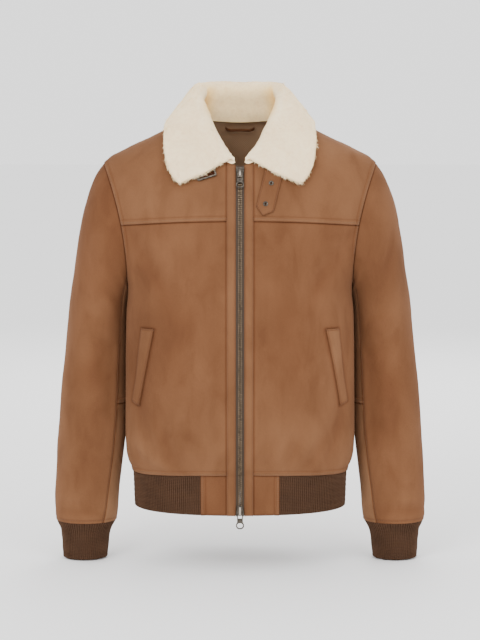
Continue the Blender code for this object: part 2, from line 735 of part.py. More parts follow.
def hem_rib(name, material):
    # from one leather tab round the back to the other, each rib a crest between two grooves
    fine = 400
    shares = np.linspace(0, 1, fine)
    level = np.full(fine, HEM)
    front_x = body_x(shares, level, FRONT, TAB_SEAM)
    back_x = body_x(shares, level, BACK)[::-1]
    round_side = np.concatenate(
        (body_point(front_x, level, FRONT)[:-1], body_point(back_x, level, BACK))
    )
    lengths = np.concatenate(([0], np.cumsum(np.linalg.norm(np.diff(round_side, axis=0), axis=1))))
    ribs = round(lengths[-1] / RIB_PITCH)
    stops = np.linspace(0, lengths[-1], 2 * ribs + 1)
    at = np.interp(stops, lengths, np.arange(len(lengths)))
    front_count = len(front_x) - 1
    rows = []
    for climb in (0.0, 1.0):
        half = []
        for k in at:
            face = FRONT if k < front_count else BACK
            share = k / front_count if face == FRONT else 1 - (k - front_count) / (fine - 1)
            start = TAB_SEAM if face == FRONT else 0.0
            top = np.array(HEM_SEAM)
            for _ in range(4):
                top = seam_height(body_x(share, top, face, start), face)
            height = HEM + (top - HEM) * climb
            x = body_x(share, np.array(height), face, start)
            half.append(body_point(x, height, face))
        rows.append(half)
    half = np.array(rows)
    half_out = np.array([[body_out(p[None], FRONT if p[1] < 0 else BACK)[0] for p in row] for row in half])
    points = np.concatenate((half, sided(half[:, -2::-1], -1)), axis=1)
    out = np.concatenate((half_out, sided(half_out[:, -2::-1], -1)), axis=1)
    crest = np.arange(points.shape[1]) % 2
    rise = (crest - 1) * RIB_RISE + np.zeros(points.shape[:2])
    outer = trimmed(points + out * rise[..., None])
    inner = trimmed(points - out * KNIT)
    return wall(name, outer, inner, material)


# sleeves
def sleeve_point(station, turn):
    # turn 0 is the sleeve's top line, 90 its front and 180 its inner line
    outer_x, outer_z, inner_x, inner_z, centre_y, half_depth, hollow = (
        curve(SLEEVE, column, station) for column in range(1, 8)
    )
    cosine, sine = np.cos(np.radians(turn)), np.sin(np.radians(turn))
    x = (outer_x + inner_x) / 2 + (outer_x - inner_x) / 2 * cosine - hollow * sine**2
    y = centre_y - half_depth * sine
    z = (outer_z + inner_z) / 2 + (outer_z - inner_z) / 2 * cosine
    return np.stack(np.broadcast_arrays(x, y, z), axis=-1)


def sleeve_out(station, turn):
    nudge = 0.02
    low = np.clip(station - nudge, 0, SLEEVE_END)
    high = np.clip(station + nudge, 0, SLEEVE_END)
    along = sleeve_point(high, turn) - sleeve_point(low, turn)
    around = sleeve_point(station, turn + 1) - sleeve_point(station, turn - 1)
    return unit(np.cross(around, along))


def armhole_out(turn):
    # at the shoulder the body and the sleeve share one direction, so that their walls meet
    points = sleeve_point(np.zeros(np.shape(turn)), turn)
    front = body_out(points, FRONT)
    back = body_out(points, BACK)
    body = np.where((np.sin(np.radians(turn)) >= 0)[..., None], front, back)
    sleeve = sleeve_out(np.full(np.shape(turn), 0.3), turn)
    low = 180 - np.abs((np.asarray(turn) + 180) % 360 - 180)
    share = np.clip((low - 30) / 40, 0, 1)[..., None]
    return unit(sleeve + share * body), unit(body + share * sleeve)


def sleeve_folds(side, station, turn):
    moved = np.zeros(np.broadcast(station, turn).shape)
    for fold_side, at, middle, length, width, rise in SLEEVE_FOLDS:
        if fold_side == side:
            away = (turn - middle + 180) % 360 - 180
            moved = moved + rise * np.exp(-(((station - at) / length) ** 2) - (away / width) ** 2)
    return moved


def armhole_stops():
    # turns at which the body's rows meet the armhole: the front ones from the top, then the back ones
    yoke = yoke_places(*YOKE_GRID)[0][:, -1, 1]
    panel_edge = panel_grid()[0][:, -1, 2]
    back = back_places(*BACK_GRID)[0][:, -1, 1]
    stops = []
    for heights in (np.concatenate((yoke, panel_edge)), back):
        turns = np.degrees(armhole_turn(heights[heights > ARMPIT - 1e-6]))
        stops.append(np.unique(np.round(turns, 3)))
    return stops


def sleeve_columns(under):
    # shares round a sleeve piece that land on the body's rows at the armhole
    front, back = armhole_stops()
    seam = SLEEVE_SEAM[0][1]
    front_seam = front[np.argmin(np.abs(front - seam))]
    back_seam = back[np.argmin(np.abs(back - seam))]
    if under:
        turns = np.concatenate((front[front >= front_seam], 360 - back[back >= back_seam][-2::-1]))
    else:
        turns = np.concatenate((-back[back <= back_seam][:0:-1], front[front <= front_seam]))
    return turns, front_seam, back_seam


def sleeve_wall(name, side, stations, under, material):
    turns, front_seam, back_seam = sleeve_columns(under)
    seam = curve(SLEEVE_SEAM, 1, stations)[:, None] - SLEEVE_SEAM[0][1]
    front_turn = front_seam + seam
    back_turn = back_seam + seam
    if under:
        share = (turns - turns[0]) / (turns[-1] - turns[0])
        turn = front_turn + (360 - back_turn - front_turn) * share[None, :]
    else:
        turn = np.where(turns > 0, turns / front_seam * front_turn, turns / back_seam * back_turn)
    shares = ((turns - turns[0]) / (turns[-1] - turns[0]))[None, :]
    station = stations[:, None] + np.zeros(shares.shape)
    points = sleeve_point(station, turn)
    out = sleeve_out(station, turn)
    if stations[0] == 0:
        out[0] = armhole_out(turn[0])[0]
    seam_fade = np.clip(np.minimum(shares, 1 - shares) / 0.08, 0, 1)
    end_fade = np.clip(np.minimum(stations - stations[0], stations[-1] - stations) / 0.3, 0, 1)
    moved = sleeve_folds(side, station, turn) * seam_fade * end_fade[:, None]
    points = points + out * moved[..., None]
    return panel(name, sided(points, side), sided(out, side), SUEDE, material)


def top_sleeve(name, side, material):
    return sleeve_wall(name, side, np.array(SLEEVE_STATIONS), False, material)


def under_sleeve(name, side, low, high, material):
    stations = np.array([station for station in SLEEVE_STATIONS if low <= station <= high])
    return sleeve_wall(name, side, stations, True, material)


def cuff_rib(name, side, material):
    heights = np.array([row[0] for row in CUFF])
    outer_x, inner_x, half_depth = (np.array([row[k] for row in CUFF]) for k in (1, 2, 3))
    mean_reach = ((outer_x - inner_x) / 2 + half_depth) / 2
    ribs = round(2 * math.pi * mean_reach.mean() / RIB_PITCH)
    turn = np.linspace(0, 2 * math.pi, 2 * ribs, endpoint=False)[None, :]
    reach = ((outer_x - inner_x) / 2)[:, None]
    middle = ((outer_x + inner_x) / 2)[:, None]
    height = heights[:, None] + np.zeros(turn.shape)

    def ring(extra):
        x = middle + (reach + extra) * np.cos(turn)
        y = (half_depth[:, None] + extra) * np.sin(turn)
        return np.stack((x, y, height), axis=-1)

    crest = (np.arange(2 * ribs) % 2 - 1)[None, :] * RIB_RISE
    return wall(name, sided(ring(crest), side), sided(ring(-KNIT), side), material, ring=True)


# collar
def neck_stops():
    # neck angles at which the yoke and the back have a corner on the neck seam
    yoke = yoke_places(*YOKE_GRID)[0][:, 0]
    x = yoke[yoke[:, 0] > FACING_SEAM - 1e-6, 0]
    front = np.degrees(np.arcsin(np.clip(np.append(x, NECK_HALF_WIDTH) / NECK_HALF_WIDTH, 0, 1)))
    back = steps_between(90, 180, round(BACK_GRID[3] * BACK_NECK_SHARE))
    stops = np.unique(np.round(np.concatenate(([9], front, back)), 3))
    return stops, neckline(stops)


def neck_seam(angle):
    # a place on the straight runs between those corners
    stops, corners = neck_stops()
    return np.array([np.interp(angle, stops, corners[:, k]) for k in range(3)])


def collar_section(angle, count):
    # the under side of the collar at one place round the neck, from the neck seam over the roll to the edge
    row = [float(curve(COLLAR, column, angle)) for column in range(1, 8)]
    radius = row[6]
    fold = np.array(row[:3])
    face = FRONT if row[4] < 0 else BACK
    edge_x, edge_y = np.array(row[3]), np.array(row[4])
    edge = np.array((edge_x, edge_y, body_height(edge_x, edge_y, face)))
    edge = edge + body_out(edge[None], face)[0] * LEAF_LIFT
    neck = neck_seam(angle)
    turn = math.radians(angle)
    neck_out = np.array((math.sin(turn), -math.cos(turn), 0))
    way = edge - fold
    sideways = unit(np.array((way[0], way[1], 0)))
    up = np.array((0, 0, 1))
    base = neck + neck_out * FLEECE * 0.5 + up * 0.0009
    inner = fold - sideways * radius
    outer = fold + sideways * radius * 0.9 + up * radius * 0.30
    leaf_out = unit(np.cross(np.cross(way, up), way))
    leaf = []
    for share in (0.3, 0.6):
        place = outer + (edge - outer) * share + leaf_out * row[5] * 4 * share * (1 - share)
        face = FRONT if place[1] < 0 else BACK
        ground = np.array((place[0], place[1], body_height(place[0], place[1], face)))
        clear = LEAF_LIFT * 0.8 / max(body_out(ground[None], face)[0, 2], 0.2)
        place[2] = max(place[2], ground[2] + clear)
        leaf.append(place)
    stops = [base, (base + inner) / 2, inner, fold + up * radius * 0.9, outer, *leaf, edge]
    lengths = np.concatenate(([0], np.cumsum([np.linalg.norm(b - a) for a, b in zip(stops, stops[1:])])))
    return through(stops, lengths / lengths[-1], count)


def through(stops, at, count):
    # evenly numbered points on a smooth line through a few stops
    stops = np.array(stops)
    slopes = np.gradient(stops, at, axis=0)
    shares = np.array((0, 0.17, 0.33, 0.42, 0.50, 0.58, 0.70, 0.85, 1.0))
    shares = np.interp(np.linspace(0, 1, count), np.linspace(0, 1, len(shares)), shares)
    points = []
    for share in shares:
        k = min(max(np.searchsorted(at, share) - 1, 0), len(at) - 2)
        step = at[k + 1] - at[k]
        t = (share - at[k]) / step
        start = stops[k] * (2 * t**3 - 3 * t**2 + 1) + slopes[k] * step * (t**3 - 2 * t**2 + t)
        end = stops[k + 1] * (3 * t**2 - 2 * t**3) + slopes[k + 1] * step * (t**3 - t**2)
        points.append(start + end)
    return np.array(points)


def grid_out(grid):
    # the way out of a grid, from the lines through each point
    down = np.gradient(grid, axis=0)
    across = np.gradient(grid, axis=1)
    return unit(np.cross(across, down))


def collar(name, material):
    stops = neck_stops()[0]
    angles = np.sort(np.concatenate((stops, (stops[1:] + stops[:-1]) / 2)))
    half = np.array([collar_section(angle, 11) for angle in angles])
    under = np.concatenate((half, sided(half[-2::-1], -1)))
    out = grid_out(under)
    # the seam edge is cut straight across the neckline, so it doesn't slide along the seam
    turns = np.radians(np.concatenate((angles, -angles[-2::-1])))
    out[:, 0] = np.stack((-np.sin(turns), np.cos(turns), np.zeros(len(turns))), axis=-1)
    return wall(name, under + out * FLEECE, under, material)


# pieces laid on the front
def on_front(places, low, side):
    # points of places on the front, a height above the cloth and its folds, and the way out
    points = body_point(places[..., 0], places[..., 1], FRONT)
    out = body_out(points, FRONT)
    points, out = sided(points, side), sided(out, side)
    return points + out * low, out


def laid_strip(name, corners, low, thickness, material, across=3, along=8, side=1):
    # a four-cornered piece lying on the front; corners are x and height, clockwise from the top left
    u = np.linspace(0, 1, across + 1)[None, :, None]
    v = np.linspace(0, 1, along + 1)[:, None, None]
    a, b, c, d = (np.array(corner)[None, None] for corner in corners)
    places = (1 - v) * ((1 - u) * a + u * b) + v * ((1 - u) * d + u * c)
    points, out = on_front(places, low, side)
    return wall(name, points + out * thickness, points, material)


def throat_strap(name, material):
    # rows run from the pointed end up the strap, and two holes are cut for the eyelets
    tip, low_left, top_left, top_right, low_right = (np.array(corner) for corner in STRAP)
    u = np.array((0, 0.22, 0.45, 0.72, 1))[None, :, None]
    v = np.linspace(0, 1, 8)[:, None, None]
    places = (1 - v) * ((1 - u) * low_left + u * low_right) + v * ((1 - u) * top_left + u * top_right)
    reach = np.minimum(u / 0.45, (1 - u) / 0.55)
    middle = low_left + 0.45 * (low_right - low_left)
    places = places + (tip - middle) * reach * np.clip(1 - v * 7, 0, 1)
    over_seam = LAP_RISE * np.clip((YOKE_SEAM + 0.0180 - places[..., 1]) / 0.006, 0, 1)[..., None]
    points, out = on_front(places, STRAP_LIFT + over_seam, 1)
    strap = wall(name, points + out * STRAP_THICKNESS, points, material)
    for number, (x, height) in enumerate(EYELETS):
        drill = round_bar(f"{name}_hole_{number}", EYELET_HOLE + 0.0004, 0.02, material, place_on_front(x, height))
        joined(strap, drill, "DIFFERENCE")
    return strap


def round_bar(name, radius, length, material, place, count=16):
    turns = np.linspace(0, 2 * math.pi, count, endpoint=False)
    ring = [(radius * math.cos(t), radius * math.sin(t)) for t in turns]
    sections = [[tuple(place @ Vector((x, y, z))) for x, z in ring] for y in (-length / 2, length / 2)]
    return loft(name, sections, material)


def eyelet(name, x, height, material):
    # a domed washer on the strap with its tube through the hole
    place = place_on_front(x, height, STRAP_LIFT + STRAP_THICKNESS)
    profile = (
        # radius, distance out
        (EYELET_HOLE, -STRAP_THICKNESS),
        (EYELET_HOLE + 0.0002, -STRAP_THICKNESS),
        (EYELET_HOLE + 0.0002, 0.0004),
        (EYELET_RADIUS, 0.0004),
        (EYELET_RADIUS, 0.0008),
        (EYELET_RADIUS * 0.75, 0.0013),
        (EYELET_HOLE, 0.0009),
    )
    return turned(name, profile, material, place)


def turned(name, profile, material, place, count=12):
    # a closed profile of radius and distance out, turned about the way out
    turns = np.linspace(0, 2 * math.pi, count, endpoint=False)
    rows = len(profile)
    points = []
    for t in turns:
        for radius, out in profile:
            points.append(tuple(place @ Vector((radius * math.cos(t), -out, radius * math.sin(t)))))
    faces = []
    for k in range(count):
        for j in range(rows):
            a, b = k * rows + j, k * rows + (j + 1) % rows
            c, d = (k + 1) % count * rows + (j + 1) % rows, (k + 1) % count * rows + j
            faces.append((a, b, c, d))
    return mesh_of(name, points, faces, material)


def buckle_frame_place():
    x, height = BUCKLE_PLACE
    place = place_on_front(x, height, BUCKLE_LIFT)
    return place @ Matrix.Rotation(math.radians(-BUCKLE_TURN), 4, "Y")


def rectangle(width, height, middle=(0, 0)):
    x, z = middle
    return [
        (x - width / 2, z - height / 2),
        (x + width / 2, z - height / 2),
        (x + width / 2, z + height / 2),
        (x - width / 2, z + height / 2),
    ]


def throat_buckle(name, material):
    edge = round_corners(rectangle(BUCKLE_WIDTH, BUCKLE_HEIGHT), 0.003)
    inner = rectangle(BUCKLE_WIDTH - 2 * BUCKLE_WIRE, BUCKLE_HEIGHT - 2 * BUCKLE_WIRE)
    return plate(name, [edge, round_corners(inner, 0.0015)], BUCKLE_WIRE, material, buckle_frame_place())


def buckle_loop(name, material):
    # a folded tab sewn under the collar that runs round the upper bar of the buckle
    bar = (BUCKLE_HEIGHT - BUCKLE_WIRE) / 2
    clear = BUCKLE_WIRE / 2 + SEAM_GAP
    thick = 0.0012
    top = bar + 0.0120
    line = [(top, -clear), (bar + clear, -clear)]
    turns = np.linspace(0, math.pi, 7)
    line += [(bar - clear * 0.6 - clear * math.sin(t), -clear * math.cos(t)) for t in turns]
    line += [(bar + clear, clear), (top, clear)]
    outside = [(top, -clear - thick), (bar + clear, -clear - thick)]
    wide = clear + thick
    outside += [(bar - clear * 0.6 - wide * math.sin(t), -wide * math.cos(t)) for t in turns]
    outside += [(bar + clear, clear + thick), (top, clear + thick)]
    profile = line + outside[::-1]
    place = buckle_frame_place()
    half = (BUCKLE_WIDTH - 2 * BUCKLE_WIRE) / 2 - 0.001
    sections = [[tuple(place @ Vector((x, -out, z))) for z, out in profile] for x in (-half, half)]
    return loft(name, sections, material)


# zip
def zip_chain(name, material):
    rows = front_rows()
    rows[-1] -= 0.003
    rows[0] += 0.002
    x = np.array((-CHAIN_EDGE, CHAIN_EDGE))[None, :] + np.zeros((len(rows), 1))
    height = rows[:, None] + np.zeros(x.shape)
    points = body_point(x, height, FRONT)
    out = body_out(points, FRONT)
    return wall(name, points - out * 0.0002, points - out * 0.0028, material)


def slider_place(height):
    return place_on_front(0.0, height, 0.0002 + SLIDER_THICKNESS / 2)


def zip_slider(name, height, way, material):
    # a shield-shaped body over the chain with a bridge for the pull; way -1 opens upward
    half, long = SLIDER_WIDTH / 2, SLIDER_LENGTH / 2
    outline = [
        (-half, long * way),
        (-half * 0.95, long * 0.25 * way),
        (-half * 0.62, -long * 0.55 * way),
        (-half * 0.55, -long * way),
        (half * 0.55, -long * way),
        (half * 0.62, -long * 0.55 * way),
        (half * 0.95, long * 0.25 * way),
        (half, long * way),
        (0, long * 0.72 * way),
    ]
    place = slider_place(height)
    body = plate(name, [outline], SLIDER_THICKNESS, material, place)
    reach, rise, thick = BRIDGE_LENGTH / 2, BRIDGE_RISE, BRIDGE_THICKNESS
    arch = [(-reach, 0), (-reach, rise * 0.55), (-reach + 0.0025, rise), (reach - 0.0025, rise)]
    arch += [(reach, rise * 0.55), (reach, 0), (reach - thick, 0), (reach - thick, rise * 0.5)]
    arch += [(reach - 0.003, rise - thick), (-reach + 0.003, rise - thick)]
    arch += [(-reach + thick, rise * 0.5), (-reach + thick, 0)]
    half = BRIDGE_WIDTH / 2
    sections = [[tuple(place @ Vector((x, -out, z))) for z, out in arch] for x in (-half, half)]
    return joined(body, loft(f"{name}_bridge", sections, material, smooth=False))


def hinge_place(height, upright):
    # where the pull hangs in the lower end of the bridge
    place = slider_place(height)
    drop = BRIDGE_LENGTH / 2 - BRIDGE_THICKNESS - 0.0013
    middle = place @ Vector((0, -(BRIDGE_RISE - BRIDGE_THICKNESS) * 0.57, -drop))
    if upright:
        return Matrix.Translation(middle)
    place.translation = middle
    return place


def zip_pull(name, height, upright, material):
    # a link round the bridge, a short plate and an oval ring
    bar = PULL_THICKNESS / 2
    outline = [
        (-0.0048, bar),
        (-0.0050, -0.0040),
        (-0.0046, -0.0110),
        (-0.0052, -0.0140),
        (-0.0066, -0.0168),
        (-0.0066, -0.0206),
        (-0.0048, -0.0236),
        (-0.0020, -0.0248),
        (0.0020, -0.0248),
        (0.0048, -0.0236),
        (0.0066, -0.0206),
        (0.0066, -0.0168),
        (0.0052, -0.0140),
        (0.0046, -0.0110),
        (0.0050, -0.0040),
        (0.0048, bar),
    ]
    link = [(-0.0034, -bar), (0.0034, -bar), (0.0030, -0.0070), (-0.0030, -0.0070)]
    turns = np.linspace(0, 2 * math.pi, 12, endpoint=False)
    ring = [(0.0049 * math.cos(t), -0.0187 + 0.0043 * math.sin(t)) for t in turns]
    place = hinge_place(height, upright)
    return plate(name, [outline, link, ring], PULL_THICKNESS, material, place)


# inside the neck
def hanger_loop(name, lining, material):
    # a narrow strip along the back neck, its ends turned in to the lining
    corners = [corner.co for corner in lining.data.vertices]
    surface = BVHTree.FromPolygons(corners, [face.vertices for face in lining.data.polygons])
    stops, ups = [], []
    for x in (-1, -0.97, -0.88, -0.72, -0.4, 0, 0.4, 0.72, 0.88, 0.97, 1):
        point = body_point(HANGER_HALF * x, HANGER_HEIGHT, BACK)
        inward = -body_out(point[None], BACK)[0]
        reach = HANGER_REACH * min(1, (1 - abs(x)) / 0.28) ** 0.5
        seat = np.array(surface.ray_cast(Vector(point + inward * 0.03), Vector(-inward))[0])
        stops.append(seat + inward * (HANGER_THICKNESS / 2 + 1.5 * SEAM_GAP + reach))
        ups.append(unit(np.array((0, 0, 1)) - inward[2] * inward) * HANGER_WIDTH / 2)
    stops, ups = np.array(stops), np.array(ups)
    half = unit(np.cross(np.gradient(stops, axis=0), ups)) * HANGER_THICKNESS / 2
    outer = np.stack((stops + half - ups, stops + half + ups))
    inner = np.stack((stops - half - ups, stops - half + ups))
    return wall(name, outer, inner, material)


def clear_scene():
    for thing in list(bpy.data.objects):
        bpy.data.objects.remove(thing)


def build():
    clear_scene()
    suede = finish("suede", (0.33, 0.155, 0.070), 0.85)
    rib = finish("rib_knit", (0.088, 0.042, 0.022), 0.90)
    fleece = finish("fleece", (0.78, 0.68, 0.55), 0.95)
    lining = finish("lining", (0.20, 0.115, 0.065), 0.80)
    tape = finish("zip_tape", (0.11, 0.075, 0.05), 0.85)
    metal = finish("dark_metal", (0.22, 0.20, 0.18), 0.35, 1.0)

    for side, word in ((1, "left"), (-1, "right")):
        front_panel(f"front_panel_{word}", side, suede)
        front_yoke(f"front_yoke_{word}", side, suede)
        front_strip(f"zip_facing_{word}", side, FACING_EDGE, FACING_SEAM, HEM, 0, FACING, suede)
        front_strip(f"zip_tape_{word}", side, CHAIN_EDGE, TAPE_EDGE, HEM + 0.001, 0.0018, 0.0009, tape)
        hem_tab(f"hem_tab_{word}", side, suede)
        top_sleeve(f"top_sleeve_{word}", side, suede)
        under_sleeve(f"under_sleeve_upper_{word}", side, 0, ELBOW_SEAM, suede)
        under_sleeve(f"under_sleeve_lower_{word}", side, ELBOW_SEAM, SLEEVE_END, suede)
        cuff_rib(f"cuff_rib_{word}", side, rib)
        laid_strip(f"pocket_welt_{word}", POCKET_WELT, WELT_LIFT, WELT_THICKNESS, suede, side=side)
    back_panel("back_panel", suede)
    inside_back = back_lining("back_lining", lining)
    hem_rib("hem_rib", rib)
    collar("collar", fleece)
    throat_strap("throat_strap", suede)
    for number, (x, height) in enumerate(EYELETS, 1):
        eyelet(f"strap_eyelet_{number}", x, height, metal)
    throat_buckle("throat_buckle", metal)
    buckle_loop("buckle_loop", suede)
    zip_chain("zip_chain", metal)
    zip_slider("zip_slider_top", SLIDER_TOP, 1, metal)
    zip_slider("zip_slider_bottom", SLIDER_BOTTOM, -1, metal)
    zip_pull("zip_pull_top", SLIDER_TOP, False, metal)
    zip_pull("zip_pull_bottom", SLIDER_BOTTOM, True, metal)
    hanger_loop("hanger_loop", inside_back, suede)


build()
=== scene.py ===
import math

import bmesh
import bpy
import numpy as np
from mathutils import Matrix, Vector, noise
from mathutils.bvhtree import BVHTree


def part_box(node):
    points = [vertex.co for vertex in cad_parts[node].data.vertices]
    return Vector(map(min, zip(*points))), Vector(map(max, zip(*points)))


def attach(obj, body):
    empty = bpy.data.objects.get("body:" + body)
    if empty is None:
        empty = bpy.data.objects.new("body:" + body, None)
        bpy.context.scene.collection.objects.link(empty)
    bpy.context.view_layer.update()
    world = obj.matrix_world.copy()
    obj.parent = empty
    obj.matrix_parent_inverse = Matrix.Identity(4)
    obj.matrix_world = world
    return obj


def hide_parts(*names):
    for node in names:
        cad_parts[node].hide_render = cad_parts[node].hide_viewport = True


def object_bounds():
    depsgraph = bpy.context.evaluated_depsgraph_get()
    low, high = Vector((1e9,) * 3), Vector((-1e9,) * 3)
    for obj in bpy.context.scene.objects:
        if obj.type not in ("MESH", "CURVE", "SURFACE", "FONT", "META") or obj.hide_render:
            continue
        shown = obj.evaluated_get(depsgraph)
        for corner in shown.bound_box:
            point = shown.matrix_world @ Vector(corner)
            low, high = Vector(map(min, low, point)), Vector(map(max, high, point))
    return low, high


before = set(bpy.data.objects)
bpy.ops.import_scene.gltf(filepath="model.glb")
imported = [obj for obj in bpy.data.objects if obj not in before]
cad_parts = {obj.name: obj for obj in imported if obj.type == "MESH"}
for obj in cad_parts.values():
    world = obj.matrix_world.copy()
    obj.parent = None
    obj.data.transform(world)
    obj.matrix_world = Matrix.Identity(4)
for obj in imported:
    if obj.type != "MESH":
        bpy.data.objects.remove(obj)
cadBox = [list(corner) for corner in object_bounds()]

# Suede bomber jacket with a turned-down fleece collar. Metres, +Z up, the front faces -Y.
# Height 0 is the back neck seam, and the wearer's neck stands on the Z axis.

bodyShape = {
    "hem": -0.6545,
    "hemSeam": -0.586,
    "hemSeamDip": 0.009,
    "armpit": -0.280,
    "yokeSeam": -0.166,
    "yokeSeamDip": 0.011,
    "shoulderPoint": -0.0735,
    "neckPoint": 0.005,
    "neckHalfWidth": 0.085,
    "frontNeckDepth": 0.087,
    "backNeckDepth": 0.070,
    "facingEdge": 0.0070,
    "facingSeam": 0.0225,
    "tabSeam": 0.0655,
}
cloth = {"suede": 0.0025, "facing": 0.0014, "knit": 0.0026, "fleece": 0.0058, "lining": 0.0010}
bodyDepth = (
    # height, front, back, squareness
    (-0.6545, 0.1205, 0.1060, 2.35),
    (-0.615, 0.1225, 0.1080, 2.35),
    (-0.590, 0.1245, 0.1100, 2.35),
    (-0.572, 0.1325, 0.1170, 2.35),
    (-0.545, 0.1375, 0.1205, 2.35),
    (-0.450, 0.1380, 0.1200, 2.30),
    (-0.350, 0.1380, 0.1220, 2.30),
    (-0.250, 0.1340, 0.1270, 2.30),
    (-0.180, 0.1240, 0.1262, 2.27),
    (-0.140, 0.1140, 0.1228, 2.20),
    (-0.100, 0.0990, 0.1140, 2.14),
    (-0.068, 0.0830, 0.1020, 2.05),
    (-0.045, 0.0710, 0.0940, 2.00),
    (-0.020, 0.0580, 0.0830, 2.00),
    (0.000, 0.0490, 0.0700, 2.00),
    (0.010, 0.0450, 0.0620, 2.00),
)
sideSeam = (
    # height, half width
    (-0.6545, 0.1802),
    (-0.630, 0.1812),
    (-0.605, 0.1820),
    (-0.592, 0.1835),
    (-0.577, 0.1905),
    (-0.560, 0.1940),
    (-0.530, 0.1954),
    (-0.460, 0.1948),
    (-0.380, 0.1940),
    (-0.320, 0.1924),
    (-0.290, 0.1898),
    (-0.280, 0.1900),
)
shoulderSeam = (
    # height, half width
    (-0.0735, 0.2290),
    (-0.0625, 0.2180),
    (-0.0520, 0.1978),
    (-0.0420, 0.1784),
    (-0.0320, 0.1557),
    (-0.0215, 0.1346),
    (-0.0110, 0.1140),
    (0.0050, 0.0850),
)
sleeveShape = (
    # station, outer x, outer z, inner x, inner z, centre y, half depth, hollow
    (0, 0.2290, -0.0735, 0.1900, -0.2800, 0.000, 0.0620, 0.012),
    (1, 0.2422, -0.0925, 0.1908, -0.2845, 0.003, 0.0648, 0.009),
    (2, 0.2525, -0.1150, 0.1916, -0.2890, 0.007, 0.0669, 0.006),
    (3, 0.2618, -0.1420, 0.1923, -0.2945, 0.012, 0.0684, 0.003),
    (4, 0.2708, -0.1810, 0.1931, -0.3020, 0.017, 0.0690, 0.001),
    (5, 0.2783, -0.2219, 0.1939, -0.3120, 0.022, 0.0688, 0.000),
    (6, 0.2838, -0.2628, 0.1945, -0.3260, 0.026, 0.0682, 0.000),
    (7, 0.2901, -0.3040, 0.1951, -0.3460, 0.029, 0.0668, 0.000),
    (8, 0.2947, -0.3450, 0.1955, -0.3720, 0.030, 0.0650, 0.000),
    (9, 0.2994, -0.3864, 0.1957, -0.4020, 0.029, 0.0627, 0.000),
    (10, 0.3070, -0.4690, 0.1964, -0.4700, 0.024, 0.0587, 0.000),
    (11, 0.3129, -0.5526, 0.1990, -0.5520, 0.013, 0.0540, 0.000),
    (12, 0.3165, -0.6300, 0.2070, -0.6300, 0.003, 0.0505, 0.000),
    (13, 0.3175, -0.6640, 0.2092, -0.6640, 0.000, 0.0495, 0.000),
    (14, 0.3150, -0.6830, 0.2118, -0.6830, 0.000, 0.0475, 0.000),
)
lastStation = sleeveShape[-1][0]
front, back = -1, 1
sides = ((1, "left"), (-1, "right"))


# curves, grids and the form that the cloth lies on
def smoothly(stops, slopes, cell, step, t):
    # a cubic from one stop to the next, with the slope given at each
    start = stops[cell] * (2 * t**3 - 3 * t**2 + 1) + slopes[cell] * step * (t**3 - 2 * t**2 + t)
    return start + stops[cell + 1] * (3 * t**2 - 2 * t**3) + slopes[cell + 1] * step * (t**3 - t**2)


def curve(table, column, at):
    # a table's column as a smooth curve that doesn't overshoot its rows
    rows = np.array(table, float)
    xs, ys = rows[:, 0], rows[:, column]
    steps = np.diff(xs)
    slopes = np.diff(ys) / steps
    turns = np.zeros(len(xs))
    turns[0], turns[-1] = slopes[0], slopes[-1]
    both = slopes[:-1] + slopes[1:]
    sameWay = slopes[:-1] * slopes[1:] > 0
    turns[1:-1] = np.where(sameWay, 2 * slopes[:-1] * slopes[1:] / np.where(both == 0, 1, both), 0)
    at = np.clip(np.asarray(at, float), xs[0], xs[-1])
    cell = np.clip(np.searchsorted(xs, at) - 1, 0, len(xs) - 2)
    return smoothly(ys, turns, cell, steps[cell], (at - xs[cell]) / steps[cell])


def unit(vectors):
    return vectors / np.maximum(np.linalg.norm(vectors, axis=-1, keepdims=True), 1e-12)


def mirrored(points, side):
    return points * np.array((side, 1, 1))


def ease(t):
    t = np.clip(t, 0, 1)
    return t * t * (3 - 2 * t)


def closeSteps(count, edge, fine=12):
    # shares from 0 to 1 that lie close together within an edge's width of both ends
    near = np.linspace(0, edge, fine, endpoint=False)
    return np.concatenate((near, np.linspace(edge, 1 - edge, count), 1 - near[::-1]))


armholeMiddle = (bodyShape["shoulderPoint"] + bodyShape["armpit"]) / 2
armholeReach = (bodyShape["shoulderPoint"] - bodyShape["armpit"]) / 2
armholeX = (sleeveShape[0][1] + sleeveShape[0][3]) / 2
armholeLean = (sleeveShape[0][1] - sleeveShape[0][3]) / 2


def armholeTurn(height):
    return np.arccos(np.clip((height - armholeMiddle) / armholeReach, -1, 1))


def bodyEdge(height):
    turn = armholeTurn(height)
    x = armholeX + armholeLean * np.cos(turn) - sleeveShape[0][7] * np.sin(turn) ** 2
    x = np.where(height < bodyShape["armpit"], curve(sideSeam, 1, height), x)
    x = np.where(height > bodyShape["shoulderPoint"], curve(shoulderSeam, 1, height), x)
    return x, sleeveShape[0][6] * np.sin(turn)


def bodySection(height, face):
    depth = curve(bodyDepth, 1 if face == front else 2, height)
    square = curve(bodyDepth, 3, height)
    edgeX, edgeY = bodyEdge(height)
    share = np.clip(edgeY / depth, 0, 0.98) ** square
    return edgeX / (1 - share) ** (1 / square), depth, square


def bodyPoint(x, height, face):
    halfWidth, depth, square = bodySection(height, face)
    share = np.clip(np.abs(x) / halfWidth, 0, 1) ** square
    return np.stack(np.broadcast_arrays(x, face * depth * (1 - share) ** (1 / square), height), axis=-1)


def bodyX(share, height, face, start=0.0):
    # x at a share of the way round, from a line at x = start to the side seam or armhole
    halfWidth, depth, square = bodySection(height, face)
    endAngle = np.arccos(np.clip(bodyEdge(height)[1] / depth, 0, 1) ** (square / 2))
    startAngle = np.arcsin(np.clip(start / halfWidth, 0, 1) ** (square / 2))
    return halfWidth * np.sin(startAngle + share * (endAngle - startAngle)) ** (2 / square)


